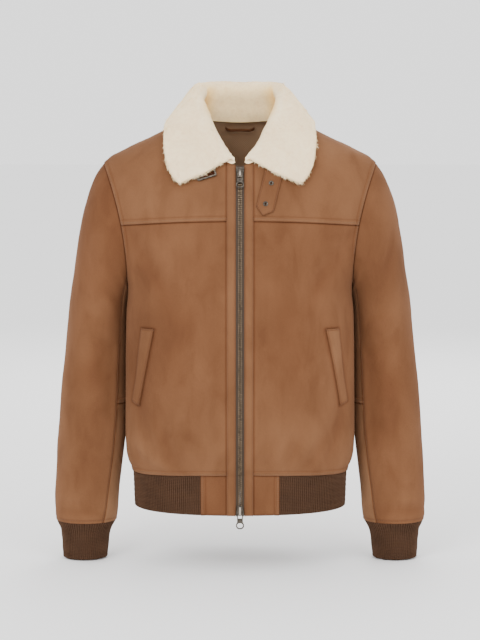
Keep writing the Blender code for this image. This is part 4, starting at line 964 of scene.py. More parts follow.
def stitchTree():
    # short rounded threads along each line
    tree, start, finish = newTree("stitchRow", (
        ("Pitch", "NodeSocketFloat", 0.0034),
        ("Length", "NodeSocketFloat", 0.0026),
        ("Thickness", "NodeSocketFloat", 0.0006),
        ("Finish", "NodeSocketMaterial", None),
    ))
    places = linePlaces(tree, start, "LENGTH", "Length", "Pitch")
    bead = addNode(tree, "GeometryNodeMeshUVSphere", {"Segments": 5, "Rings": 3, "Radius": 0.5})
    size = addNode(tree, "ShaderNodeCombineXYZ", {
        "X": start.outputs["Thickness"], "Y": start.outputs["Thickness"], "Z": start.outputs["Length"],
    })
    shaped = addNode(tree, "GeometryNodeTransform", {
        "Geometry": bead.outputs["Mesh"], "Scale": size.outputs[0],
    })
    return endTree(tree, putAlong(tree, places, shaped), start, finish)


def ribTree():
    # a rounded rib along each line, swelling at every loop of the knit
    tree, start, finish = newTree("knitRib", (
        ("Width", "NodeSocketFloat", 0.0021),
        ("Loop Pitch", "NodeSocketFloat", 0.0026),
        ("Loop Swell", "NodeSocketFloat", 0.16),
        ("Steps", "NodeSocketInt", 60),
        ("Finish", "NodeSocketMaterial", None),
    ))
    places = linePlaces(tree, start, "COUNT", "Count", "Steps")
    along = addNode(tree, "GeometryNodeSplineParameter")
    loops = mathOf(tree, "DIVIDE", along.outputs["Length"], start.outputs["Loop Pitch"])
    wave = mathOf(tree, "SINE", mathOf(tree, "MULTIPLY", loops, math.tau))
    swell = mathOf(tree, "MULTIPLY_ADD", wave, start.outputs["Loop Swell"], 1.0)
    section = {"Resolution": 6, "Radius": start.outputs["Width"]}
    sized = addNode(tree, "GeometryNodeCurvePrimitiveCircle", section, mode="RADIUS")
    tube = addNode(tree, "GeometryNodeCurveToMesh", {
        "Curve": places.outputs[0], "Profile Curve": sized.outputs[0], "Scale": swell, "Fill Caps": True,
    })
    return endTree(tree, tube.outputs[0], start, finish)


tooth = {
    "clampWidth": 0.0022,
    "clampOut": 0.0009,
    "headRadius": 0.0011,
    "headIn": 0.0007,
    "headScale": (1.1, 1.0, 0.75),
}


def toothTree():
    # one metal tooth at each place, its clamp towards the tape and its head over the middle
    tree, start, finish = newTree("zipTooth", (
        ("Pitch", "NodeSocketFloat", 0.0026),
        ("Side", "NodeSocketFloat", 1.0),
        ("Height", "NodeSocketFloat", 0.0012),
        ("Depth", "NodeSocketFloat", 0.0022),
        ("Finish", "NodeSocketMaterial", None),
    ))
    places = linePlaces(tree, start, "LENGTH", "Length", "Pitch")
    clampSize = addNode(tree, "ShaderNodeCombineXYZ", {
        "X": tooth["clampWidth"], "Y": start.outputs["Depth"], "Z": start.outputs["Height"],
    })
    clamp = addNode(tree, "GeometryNodeMeshCube", {"Size": clampSize.outputs[0]})
    outward = mathOf(tree, "MULTIPLY", start.outputs["Side"], tooth["clampOut"])
    clampPlace = addNode(tree, "ShaderNodeCombineXYZ", {"X": outward})
    clampMoved = addNode(tree, "GeometryNodeTransform", {
        "Geometry": clamp.outputs["Mesh"], "Translation": clampPlace.outputs[0],
    })
    bead = {"Segments": 8, "Rings": 5, "Radius": tooth["headRadius"]}
    head = addNode(tree, "GeometryNodeMeshUVSphere", bead)
    inward = mathOf(tree, "MULTIPLY", start.outputs["Side"], -tooth["headIn"])
    headPlace = addNode(tree, "ShaderNodeCombineXYZ", {"X": inward})
    headMoved = addNode(tree, "GeometryNodeTransform", {
        "Geometry": head.outputs["Mesh"], "Translation": headPlace.outputs[0], "Scale": tooth["headScale"],
    })
    whole = addNode(tree, "GeometryNodeJoinGeometry")
    for part in (clampMoved, headMoved):
        tree.links.new(part.outputs[0], whole.inputs[0])
    return endTree(tree, putAlong(tree, places, whole, pivot_axis="X"), start, finish)


def pileTree():
    # curled strands over the fleece; they follow the comb of the skin and gather in tufts
    tree, start, finish = newTree("fleecePile", (
        ("Density", "NodeSocketFloat", 1.0e6),
        ("Strand", "NodeSocketObject", None),
        ("Comb", "NodeSocketFloat", 0.6),
        ("Tuft Lean", "NodeSocketFloat", 1.1),
        ("Tuft Scale", "NodeSocketFloat", 190.0),
        ("Seed", "NodeSocketInt", 7),
        ("Finish", "NodeSocketMaterial", None),
    ))
    spread = addNode(tree, "GeometryNodeDistributePointsOnFaces", {
        "Mesh": start.outputs["Geometry"], "Density": start.outputs["Density"], "Seed": start.outputs["Seed"],
    }, distribute_method="RANDOM")
    comb = addNode(tree, "GeometryNodeInputNamedAttribute", {"Name": "comb"}, data_type="FLOAT_VECTOR")
    combed = vectorOf(tree, "SCALE", {0: comb.outputs[0], "Scale": start.outputs["Comb"]})
    swirl = addNode(tree, "ShaderNodeTexNoise", {"Scale": start.outputs["Tuft Scale"], "Detail": 1.0})
    centred = vectorOf(tree, "SUBTRACT", {0: swirl.outputs["Color"], 1: (0.5, 0.5, 0.5)})
    tufted = vectorOf(tree, "SCALE", {0: centred, "Scale": start.outputs["Tuft Lean"]})
    spreadAway = {"Min": (-0.30, -0.30, -0.30), "Max": (0.30, 0.30, 0.30)}
    loose = addNode(tree, "FunctionNodeRandomValue", spreadAway, data_type="FLOAT_VECTOR")
    tree.links.new(start.outputs["Seed"], loose.inputs["Seed"])
    total = spread.outputs["Normal"]
    for extra in (combed, tufted, loose.outputs[0]):
        total = vectorOf(tree, "ADD", {0: total, 1: extra})
    turned = addNode(tree, "FunctionNodeAlignRotationToVector", {"Vector": total}, axis="Z")
    spin = addNode(tree, "FunctionNodeRandomValue", {2: 0.0, 3: math.tau, "Seed": 3}, data_type="FLOAT")
    axis = {"Axis": (0.0, 0.0, 1.0), "Angle": spin.outputs[1]}
    spun = addNode(tree, "FunctionNodeAxisAngleToRotation", axis)
    turns = {"Rotation": turned.outputs[0], "Rotate By": spun.outputs[0]}
    both = addNode(tree, "FunctionNodeRotateRotation", turns, rotation_space="LOCAL")
    size = addNode(tree, "FunctionNodeRandomValue", {2: 0.65, 3: 1.15, "Seed": 5}, data_type="FLOAT")
    shape = addNode(tree, "GeometryNodeObjectInfo", {"Object": start.outputs["Strand"]})
    put = addNode(tree, "GeometryNodeInstanceOnPoints", {
        "Points": spread.outputs["Points"], "Instance": shape.outputs["Geometry"],
        "Rotation": both.outputs[0], "Scale": size.outputs[1],
    })
    return endTree(tree, put.outputs[0], start, finish)


trees = {"stitch": stitchTree(), "rib": ribTree(), "tooth": toothTree(), "pile": pileTree()}
print("node trees made")


# the body
frontPanels = {"columns": 48, "rows": 96, "cut": (0.249, 0.449)}
frontYokes = {"columns": 52, "rows": 60, "cut": (0.205, 0.241)}
backPanel = {"columns": 33, "lowRows": 88, "highRows": 48, "cut": (0.568, 0.664)}
backLining = {"columns": 30, "highRows": 40, "inset": 3, "gap": 0.0004, "cut": (0.554, 0.233)}
facings = {
    "rows": 190,
    "columns": 13,
    "start": bodyShape["facingEdge"],
    "end": bodyShape["facingSeam"],
    "low": bodyShape["hem"],
    "depth": 0.0,
    "thickness": cloth["facing"],
    "cut": (0.0170, 0.594),
}
zipTapes = {
    "rows": 190,
    "columns": 8,
    "start": 0.0003,
    "end": 0.0150,
    "low": bodyShape["hem"] + 0.001,
    "depth": 0.0018,
    "thickness": 0.0009,
    "cut": (0.0156, 0.594),
}
# the hem tabs' tones are painted shade, deeper on the right
hemTabs = {"rows": 24, "columns": 20, "tones": {1: 0.87, -1: 0.80}, "cut": (0.0452, 0.072)}
seamTurnIn = 0.012  # how far from the armhole the cloth begins to turn towards the sleeve


def seamHeight(x, face):
    share = np.clip(np.abs(x) / sideSeam[3][1], 0, 1)
    return bodyShape["hemSeam"] - bodyShape["hemSeamDip"] * (share**2 if face == front else 1.0)


def sharedOut(points, face, edge):
    # beside the armhole the cloth turns to the direction that it shares with the sleeve
    out = bodyOut(points, face)
    column = -1 if edge == "right" else 0
    height = points[:, column, 2]
    shared = armholeOut(-face * np.degrees(armholeTurn(height)))[1]
    above = (height >= bodyShape["armpit"] - 1e-6)[:, None]
    near = np.clip(1 - sideDistances(points)[edge] / seamTurnIn, 0, 1) * above
    return unit(out * (1 - near[..., None]) + shared[:, None] * near[..., None])


def armholeLap(points):
    # the armhole seam is raised from a little above the underarm
    return ease((points[:, -1:, 2] - bodyShape["armpit"] - 0.040) / 0.03)


def coons(low, high, left, right, easing):
    # a grid of places between four edges
    columns, rows = len(low), len(left)
    u = np.linspace(0, 1, columns)[None, :, None]
    w = easing[:, None, None]
    between = (1 - w) * low[None] + w * high[None] + (1 - u) * left[:, None] + u * right[:, None]
    corners = (1 - u) * (1 - w) * low[0] + u * (1 - w) * low[-1] + (1 - u) * w * high[0] + u * w * high[-1]
    return (between - corners).reshape(rows, columns, 2)


pocketWelts = {
    # corners as x and height, clockwise from the top outer one
    "corners": ((0.1630, -0.3450), (0.1415, -0.3450), (0.1690, -0.4760), (0.1810, -0.4700)),
    "lift": 0.0004,
    "thickness": 0.0022,
    "crown": 0.0007,
    "shadow": 0.34,
    "shadowWidth": 0.0028,
    "cut": (0.0262, 0.137),
}


def weltShadow(points):
    # the cloth is darker close round the pocket welt
    places = points[..., [0, 2]]
    corners = np.array(pocketWelts["corners"])
    nearest = np.full(points.shape[:2], 1.0)
    for start, end in zip(corners, np.roll(corners, -1, axis=0)):
        way = end - start
        share = np.clip(((places - start) @ way) / (way @ way), 0, 1)
        nearest = np.minimum(nearest, np.linalg.norm(places - start - share[..., None] * way, axis=-1))
    return 1 - pocketWelts["shadow"] * np.exp(-((nearest / pocketWelts["shadowWidth"]) ** 2))


def chestDarkening(points):
    # the front panels are darker towards the chest
    return 1.0 - 0.125 * ease((points[..., 2] + 0.54) / 0.16)


def makeFrontPanel(name, side):
    shares = closeSteps(frontPanels["columns"], 0.07)
    low, high = bodyShape["hemSeam"], bodyShape["yokeSeam"]
    rows = (low + (high - low) * closeSteps(frontPanels["rows"], 0.032))[:, None]
    height = rows + np.zeros((1, len(shares)))
    for _ in range(4):
        x = bodyX(shares[None, :], height, front, bodyShape["facingSeam"])
        yokeDip = bodyShape["yokeSeamDip"] * np.clip(x / armholeX, 0, 1) ** 2
        hemDip = low - seamHeight(x, front)
        nearTop = np.clip((rows - bodyShape["armpit"]) / (high - bodyShape["armpit"]), 0, 1)
        nearHem = np.clip(1 - (rows - low) / (high - low) / 0.35, 0, 1)
        height = rows - hemDip * nearHem - yokeDip * nearTop
    points = bodyPoint(x, height, front)
    styles = {"low": "lap", "high": "under", "left": ("under", 0.7), "right": ("lap", armholeLap(points))}
    moved = bodyFolds(mirrored(points, side), front)
    return sewnPanel(name, points, sharedOut(points, front, "right"), cloth["suede"], (suede, lining), styles,
                     moved, side, "front", weltShadow(points) * chestDarkening(points))


def makeFrontYoke(name, side):
    shape = bodyShape
    shares = closeSteps(frontYokes["columns"], 0.07)
    lowHeight = shape["yokeSeam"] + np.zeros(len(shares))
    for _ in range(3):
        lowX = bodyX(shares, lowHeight, front, shape["facingSeam"])
        lowHeight = shape["yokeSeam"] - shape["yokeSeamDip"] * np.clip(lowX / armholeX, 0, 1) ** 2
    straight = 0.42
    climbs = np.unique(np.concatenate((closeSteps(frontYokes["rows"], 0.07), [straight])))
    easing = 1 - (1 - climbs) ** 2
    rightHeight = armholeMiddle + armholeReach * np.cos(armholeTurn(lowHeight[-1]) * (1 - climbs))
    right = np.stack((bodyEdge(rightHeight)[0], rightHeight), axis=-1)
    neckStart = math.degrees(math.asin(shape["facingSeam"] / shape["neckHalfWidth"]))
    neckLow = neckline(np.array([neckStart]))[0, 2]
    alongNeck = neckline(neckStart + (90 - neckStart) * np.clip((climbs - straight) / (1 - straight), 0, 1))
    onFacing = climbs < straight
    onSeam = shape["yokeSeam"] + (neckLow - shape["yokeSeam"]) * climbs / straight
    leftHeight = np.where(onFacing, onSeam, alongNeck[:, 2])
    left = np.stack((np.where(onFacing, shape["facingSeam"], alongNeck[:, 0]), leftHeight), axis=-1)
    left[0] = (lowX[0], lowHeight[0])
    slope = np.linspace(0, 1, len(shares))
    highHeight = shape["neckPoint"] + (shape["shoulderPoint"] - shape["neckPoint"]) * slope
    high = np.stack((bodyEdge(highHeight + 1e-9)[0], highHeight), axis=-1)
    high[-1] = right[-1]
    places = coons(np.stack((lowX, lowHeight), axis=-1), high, left, right, easing)
    points = bodyPoint(places[..., 0], places[..., 1], front)
    lap = ease((0.985 - climbs[:, None]) / 0.05)
    styles = {"low": "lap", "high": ("under", 0.8), "left": ("under", 0.7), "right": ("lap", lap)}
    moved = bodyFolds(mirrored(points, side), front)
    return sewnPanel(name, points, sharedOut(points, front, "right"), cloth["suede"], (suede, lining), styles,
                     moved, side, "front")


def backForm(lowRows, highRows, columns):
    # the whole back from the hem seam to the neck and shoulders
    shape = bodyShape
    shares = np.unique(np.concatenate((np.linspace(0, 0.93, columns), np.linspace(0.93, 1, 12))))
    start = shape["hemSeam"] - shape["hemSeamDip"]
    near = np.linspace(0, 0.04, 13)
    lift = np.unique(np.concatenate((near, np.linspace(0.04, 1, lowRows)))) if lowRows else np.array([1.0])
    lowHeight = (start + (armholeMiddle - start) * lift)[:, None] + np.zeros((1, len(shares)))
    low = np.stack((bodyX(shares[None, :], lowHeight, back), lowHeight), axis=-1)
    climbs = np.unique(np.concatenate((np.linspace(0, 0.9, highRows), np.linspace(0.9, 1, 12))))
    rightHeight = armholeMiddle + armholeReach * np.cos(math.pi / 2 * (1 - climbs))
    right = np.stack((bodyEdge(rightHeight)[0], rightHeight), axis=-1)
    left = np.stack((np.zeros(len(climbs)), armholeMiddle * (1 - climbs) ** 2), axis=-1)
    neckShare = 0.4
    neck = neckline(180 - 90 * np.clip(shares / neckShare, 0, 1))
    slope = np.clip((shares - neckShare) / (1 - neckShare), 0, 1)
    highHeight = shape["neckPoint"] + (shape["shoulderPoint"] - shape["neckPoint"]) * slope
    onNeck = shares <= neckShare
    highX = np.where(onNeck, neck[:, 0], bodyEdge(highHeight + 1e-9)[0])
    high = np.stack((highX, np.where(onNeck, neck[:, 2], highHeight)), axis=-1)
    high[-1], left[-1] = right[-1], high[0]
    half = np.concatenate((low, coons(low[-1], high, left, right, 1 - (1 - climbs) ** 2)[1:]))
    points = bodyPoint(half[..., 0], half[..., 1], back)
    out = sharedOut(points, back, "right")
    points = np.concatenate((mirrored(points[:, :0:-1], -1), points), axis=1)
    out = np.concatenate((mirrored(out[:, :0:-1], -1), out), axis=1)
    return points, out


def makeBackPanel(name):
    points, out = backForm(backPanel["lowRows"], backPanel["highRows"], backPanel["columns"])
    lap = armholeLap(points) * ease((-0.078 - points[:, -1:, 2]) / 0.006)
    styles = {"low": "lap", "high": ("under", 0.8), "left": ("lap", lap), "right": ("lap", lap)}
    moved = bodyFolds(points, back)
    return sewnPanel(name, points, out, cloth["suede"], (suede, lining), styles, moved, 1, "back")


def makeBackLining(name):
    # the upper part alone, close inside the back panel
    points, out = backForm(0, backLining["highRows"], backLining["columns"])
    inset = slice(backLining["inset"], -backLining["inset"])
    points, out = points[:, inset], out[:, inset]
    points = points - out * (cloth["suede"] + backLining["gap"])
    return clothWall(name, points, points - out * cloth["lining"], (lining,))


def makeStrip(name, side, strip, materials, styles):
    # a strip up the front beside the zip, at a depth below the form
    x = np.linspace(strip["start"], strip["end"], strip["columns"])[None, :]
    top = neckline(np.degrees(np.arcsin(x[0] / bodyShape["neckHalfWidth"])))[:, 2]
    climbs = np.linspace(0, 1, strip["rows"])[:, None]
    height = strip["low"] + (top[None, :] - strip["low"]) * climbs
    points = bodyPoint(x + np.zeros(height.shape), height, front)
    out = bodyOut(points, front)
    moved = uneven(mirrored(points, side)) * 0.35
    points = points - out * strip["depth"]
    return sewnPanel(name, points, out, strip["thickness"], materials, styles, moved, side, "front")


def makeHemTab(name, side):
    start, low = bodyShape["facingSeam"], bodyShape["hem"]
    x = (start + (bodyShape["tabSeam"] - start) * closeSteps(hemTabs["columns"], 0.16))[None, :]
    height = low + (seamHeight(x, front) - low) * closeSteps(hemTabs["rows"], 0.12)[:, None]
    points = bodyPoint(x + np.zeros(height.shape), height, front)
    out = bodyOut(points, front)
    styles = {"low": "edge", "high": ("under", 0.8), "left": ("under", 0.8), "right": "lap"}
    moved = uneven(mirrored(points, side)) * 0.8 * ease((np.abs(points[..., 0]) - 0.024) / 0.012)
    return sewnPanel(name, points, out, cloth["suede"], (suede, lining), styles, moved, side, "front",
                     hemTabs["tones"][side])


for side, word in sides:
    declare(makeFrontPanel(f"suede_front_panel_{word}", side), f"front_panel_{word}", frontPanels["cut"])
    declare(makeFrontYoke(f"suede_front_yoke_{word}", side), f"front_yoke_{word}", frontYokes["cut"])
    stitched = {"left": "edge", "right": "edge"}
    strip = makeStrip(f"suede_zip_facing_{word}", side, facings, (suede, lining), stitched)
    declare(strip, f"zip_facing_{word}", facings["cut"])
    strip = makeStrip(f"woven_zip_tape_{word}", side, zipTapes, (tape,), {})
    declare(strip, f"zip_tape_{word}", zipTapes["cut"])
    declare(makeHemTab(f"suede_hem_tab_{word}", side), f"hem_tab_{word}", hemTabs["cut"])
declare(makeBackPanel("suede_back_panel"), "back_panel", backPanel["cut"])
declare(makeBackLining("back_neck_lining"), "back_lining", backLining["cut"])
print("body made")


# sleeves
sleeves = {
    "stations": 120,
    # columns, and the share at each edge where they lie close
    "topColumns": (62, 0.035),
    "underColumns": (26, 0.12),
    "elbowSeam": 10.15,
    "topCut": (0.335, 0.626),
    "underUpperCut": (0.087, 0.229),
    "underLowerCut": (0.090, 0.205),
    # where the under sleeve starts, as a turn from the sleeve's top line
    "seamTurns": ((0, 152), (7, 146), (10, 140), (14, 127)),
    # painted shade on the top sleeves, darkest at the right shoulder, and painted light that makes the under
    # sleeves paler where they lie in shade beside the body
    "topPaintedShade": {1: (0.91, 0.90), -1: (0.80, 0.97)},  # at the shoulder and at the cuff
    "underPaintedLight": 1.25,
    "innerFill": 0.0030,  # how far the inner line is let out towards the body
}


def makeSleevePiece(name, side, lowStation, highStation, under, styles):
    span = highStation - lowStation
    rows = int(sleeves["stations"] * span / lastStation)
    stations = lowStation + span * closeSteps(rows, 0.014 * lastStation / span)
    seam = curve(sleeves["seamTurns"], 1, stations)[:, None]
    columns, edge = sleeves["underColumns"] if under else sleeves["topColumns"]
    shares = closeSteps(columns, edge)[None, :]
    turn = seam + (360 - 2 * seam) * shares if under else -seam + 2 * seam * shares
    station = stations[:, None] + np.zeros(shares.shape)
    points, out = sleevePoint(station, turn), sleeveOut(station, turn)
    if lowStation == 0:
        near = np.clip(1 - sideDistances(points)["low"] / seamTurnIn, 0, 1)[..., None]
        out = unit(out * (1 - near) + armholeOut(turn[0])[0][None] * near)
    nearSeam = ease(np.minimum(shares, 1 - shares) / 0.06)
    moved = sleeveFolds(side, station, turn, mirrored(points, side)) * nearSeam
    # the folds are weaker beside the body
    inward = np.exp(-(((turn % 360 - 180) / 42) ** 2))
    moved = moved * (1 - 0.85 * inward)
    if under:
        moved = moved * ease(np.abs(station - sleeves["elbowSeam"]) / 0.25)
    beside = ease((station - 0.8) / 1.4) * ease((11.4 - station) / 0.9)
    moved = moved + sleeves["innerFill"] * inward * beside
    # the painted shade or light of each piece, from the shoulder to the cuff
    above, below = (sleeves["underPaintedLight"],) * 2 if under else sleeves["topPaintedShade"][side]
    darker = above + (below - above) * ease((station - 3) / 8)
    return sewnPanel(name, points, out, cloth["suede"], (suede, lining), styles, moved, side, "sleeves",
                     darker)


elbow = sleeves["elbowSeam"]
for side, word in sides:
    styles = {"low": "under", "high": "free", "left": "edge", "right": "edge"}
    piece = makeSleevePiece(f"suede_top_sleeve_{word}", side, 0, lastStation, False, styles)
    declare(piece, f"top_sleeve_{word}", sleeves["topCut"])
    styles = {"low": "under", "high": "lap", "left": "under", "right": "under"}
    piece = makeSleevePiece(f"suede_under_sleeve_upper_{word}", side, 0, elbow, True, styles)
    declare(piece, f"under_sleeve_upper_{word}", sleeves["underUpperCut"])
    styles = {"low": "under", "high": "free", "left": "under", "right": "under"}
    piece = makeSleevePiece(f"suede_under_sleeve_lower_{word}", side, elbow, lastStation, True, styles)
    declare(piece, f"under_sleeve_lower_{word}", sleeves["underLowerCut"])
print("sleeves made")


# knitted hem and cuffs
ribs = {
    "pitch": 0.0036,
    "width": 0.00150,
    "sink": 0.0013,
    "steps": 30,
    "ground": 0.0015,
    "loopPitch": 0.0026,
    "hemFine": 400,  # places from the tab to the side seam, and again to the middle of the back
    "cuffFine": 721,
    "cuffMiddle": -0.715,
    "hemCut": (0.842, 0.068),
    "cuffCut": (0.246, 0.0705),
}
cuffShape = (
    # height, outer x, inner x, half depth
    (-0.7475, 0.3040, 0.2280, 0.0350),
    (-0.7020, 0.3070, 0.2225, 0.0385),
    (-0.6833, 0.3140, 0.2128, 0.0463),
)


def hemPlaces(at, climbs):
    # places on the hem: at counts round from the tab to the middle of the back
    fine = ribs["hemFine"]
    onFront = at < fine - 1
    share = np.where(onFront, at / (fine - 1), 1 - (at - fine + 1) / (fine - 1))
    points = np.zeros((len(climbs), len(at), 3))
    for face, chosen, start in ((front, onFront, bodyShape["tabSeam"]), (back, ~onFront, 0.0)):
        top = np.full(len(at), bodyShape["hemSeam"])
        for _ in range(4):
            top = seamHeight(bodyX(share, top, face, start), face) + np.zeros(len(at))
        height = bodyShape["hem"] + (top - bodyShape["hem"])[None, :] * climbs[:, None]
        x = bodyX(share[None, :], height, face, start)
        points = np.where(chosen[None, :, None], bodyPoint(x, height, face), points)
    out = np.where(points[..., 1:2] < 0, bodyOut(points, front), bodyOut(points, back))
    return points, out


def evenlyRound(line, pitch):
    # places an even pitch apart, as counts along a line
    lengths = np.concatenate(([0], np.cumsum(np.linalg.norm(np.diff(line, axis=0), axis=1))))
    count = round(lengths[-1] / pitch)
    return np.interp((np.arange(count) + 0.5) * lengths[-1] / count, lengths, np.arange(len(lengths)))


def growRibs(name, points, out):
    lines = [points[:, k] - out[:, k] * ribs["sink"] for k in range(points.shape[1])]
    return grown(name, linesHost(f"{name}_lines", lines), trees["rib"], {
        "Width": ribs["width"], "Loop Pitch": ribs["loopPitch"], "Steps": ribs["steps"], "Finish": knit,
    })


def bothHalves(points, out, last):
    # the left half of the hem and its mirror image
    return (np.concatenate((grid, mirrored(grid[:, last::-1], -1)), axis=1) for grid in (points, out))


def makeHem():
    count = 2 * ribs["hemFine"] - 1
    points, out = bothHalves(*hemPlaces(np.arange(0, count, 2.0), np.linspace(0, 1, 8)), -2)
    inner = points - out * cloth["knit"]
    ground = clothWall("knit_hem_ground", points - out * ribs["ground"], inner, (knit,))
    line = hemPlaces(np.arange(float(count)), np.array([0.5]))[0][0]
    at = evenlyRound(line, ribs["pitch"])
    ribPoints, ribOut = bothHalves(*hemPlaces(at, np.linspace(0.012, 0.985, 14)), -1)
    return ground, growRibs("knit_hem_ribs", ribPoints, ribOut)


def cuffPlaces(turns, heights):
    outerX, innerX, halfDepth = (curve(cuffShape, column, heights)[:, None] for column in (1, 2, 3))
    cosine, sine = np.cos(turns)[None, :], np.sin(turns)[None, :]
    x = (outerX + innerX) / 2 + (outerX - innerX) / 2 * cosine
    points = np.stack(np.broadcast_arrays(x, halfDepth * sine, heights[:, None]), axis=-1)
    out = unit(np.stack(np.broadcast_arrays(cosine, sine, 0 * heights[:, None]), axis=-1))
    return points, out


def makeCuff(side, word):
    turns = np.linspace(0, 2 * math.pi, 160, endpoint=False)
    low, high = cuffShape[0][0], cuffShape[-1][0]
    places = cuffPlaces(turns, np.linspace(low, high + 0.004, 16))
    points, out = (mirrored(grid, side) for grid in places)
    outer, inner = points - out * ribs["ground"], points - out * cloth["knit"]
    ground = clothWall(f"knit_cuff_ground_{word}", outer, inner, (knit,), ring=True)
    fineTurns = np.linspace(0, 2 * math.pi, ribs["cuffFine"])
    line = cuffPlaces(fineTurns, np.array([ribs["cuffMiddle"]]))[0][0]
    turns = np.interp(evenlyRound(line, ribs["pitch"]), np.arange(ribs["cuffFine"]), fineTurns)
    places = cuffPlaces(turns, np.linspace(low + 0.0012, high + 0.003, 16))
    points, out = (mirrored(grid, side) for grid in places)
    return ground, growRibs(f"knit_cuff_ribs_{word}", points, out)


ground, ribbed = makeHem()
carry(ribbed)
declare(ground, "hem_rib", ribs["hemCut"])
for side, word in sides:
    ground, ribbed = makeCuff(side, word)
    carry(ribbed)
    declare(ground, f"cuff_rib_{word}", ribs["cuffCut"])
print("hem and cuffs made")


# fleece collar
collar = {
    "table": (
        # neck angle, fold x, fold y, fold z, edge x, edge y, bulge, fold radius
        (9, 0.0155, -0.0890, -0.0715, 0.1010, -0.0945, 0.003, 0.0070),
        (25, 0.0370, -0.0740, -0.0450, 0.1130, -0.0850, 0.005, 0.0080),
        (45, 0.0540, -0.0520, -0.0130, 0.1200, -0.0745, 0.004, 0.0090),
        (65, 0.0640, -0.0290, 0.0110, 0.1240, -0.0510, 0.003, 0.0090),
        (90, 0.0735, 0.0050, 0.0360, 0.1185, -0.0050, 0.002, 0.0090),
        (120, 0.0690, 0.0330, 0.0480, 0.0970, 0.0480, 0.002, 0.0090),
        (150, 0.0400, 0.0540, 0.0510, 0.0590, 0.0750, 0.006, 0.0090),
        (166, 0.0190, 0.0598, 0.0515, 0.0280, 0.0822, 0.006, 0.0090),
        (180, 0.0000, 0.0615, 0.0515, 0.0000, 0.0842, 0.006, 0.0090),
    ),
    # where the columns lie, as shares of a section's length
    "sectionShares": (0, 0.17, 0.33, 0.42, 0.50, 0.58, 0.70, 0.85, 1.0),
    "leafLift": 0.0078,
    "skin": 0.0046,
    "lumps": 0.0013,
    "columns": 44,
    "halfRows": 110,
    "edgeRound": 0.0040,
    "cut": (0.669, 0.174),
    "endSwell": 0.0065,
    "swellFrom": 0.22,
    # the tone inside the neck: tan, with painted shade towards the sides
    "neckTanAndShade": (0.66, 0.93),  # at the sides and at the middle of the back
    "cornerRound": 0.0065,
    "strandLength": 0.0088,
    "strandWidth": 0.00120,
    "strandCurl": 0.0022,
    "strands": 98000,
    "endRows": 28,  # the rows of the pile's two end pieces
    "pileFrom": {"end": 0.20, "round": 0.34},  # the share of each section where the pile starts
    "comb": 0.55,
    "tuftLean": 2.3,
    "tuftScale": 210.0,
}


def collarSection(angle, count):
    # the under side from the neck seam over the roll to the edge of the leaf
    foldX, foldY, foldZ, edgeX, edgeY, bulge, radius = (
        float(curve(collar["table"], column, angle)) for column in range(1, 8)
    )
    fold = np.array((foldX, foldY, foldZ))
    face = front if edgeY < 0 else back
    edge = np.array((edgeX, edgeY, float(bodyHeight(np.array(edgeX), np.array(edgeY), face))))
    edge = edge + bodyOut(edge[None], face)[0] * collar["leafLift"]
    turn = math.radians(angle)
    # round the back it starts inside the neck seam, which it hides
    inside = float(ease((angle - 40) / 35))
    outward = 0.0035 - 0.0075 * inside
    base = neckline(np.array([angle]))[0] + np.array((math.sin(turn), -math.cos(turn), 0)) * outward
    base[2] += 0.0009 - 0.0065 * inside
    way = edge - fold
    sideways = unit(np.array((way[0], way[1], 0)))
    up = np.array((0, 0, 1))
    outer = fold + sideways * radius * 0.9 + up * radius * 0.30
    leafOut = unit(np.cross(np.cross(way, up), way))
    inner = fold - sideways * radius
    stops = [base, (base + inner) / 2, inner, fold + up * radius * 0.9, outer]
    for share in (0.3, 0.6):
        place = outer + (edge - outer) * share + leafOut * bulge * 4 * share * (1 - share)
        side = front if place[1] < 0 else back
        ground = np.array((place[0], place[1], float(bodyHeight(place[0], place[1], side))))
        steep = max(bodyOut(ground[None], side)[0, 2], 0.2)
        place[2] = max(place[2], ground[2] + collar["leafLift"] * 0.8 / steep)
        stops.append(place)
    stops = np.array(stops + [edge])
    lengths = np.concatenate(([0], np.cumsum(np.linalg.norm(np.diff(stops, axis=0), axis=1))))
    at = lengths / lengths[-1]
    slopes = np.gradient(stops, at, axis=0)
    spacing = collar["sectionShares"]
    shares = np.interp(np.linspace(0, 1, count), np.linspace(0, 1, len(spacing)), spacing)
    cell = np.clip(np.searchsorted(at, shares) - 1, 0, len(at) - 2)
    step = (at[cell + 1] - at[cell])[:, None]
    return smoothly(stops, slopes, cell, step, (shares[:, None] - at[cell][:, None]) / step)


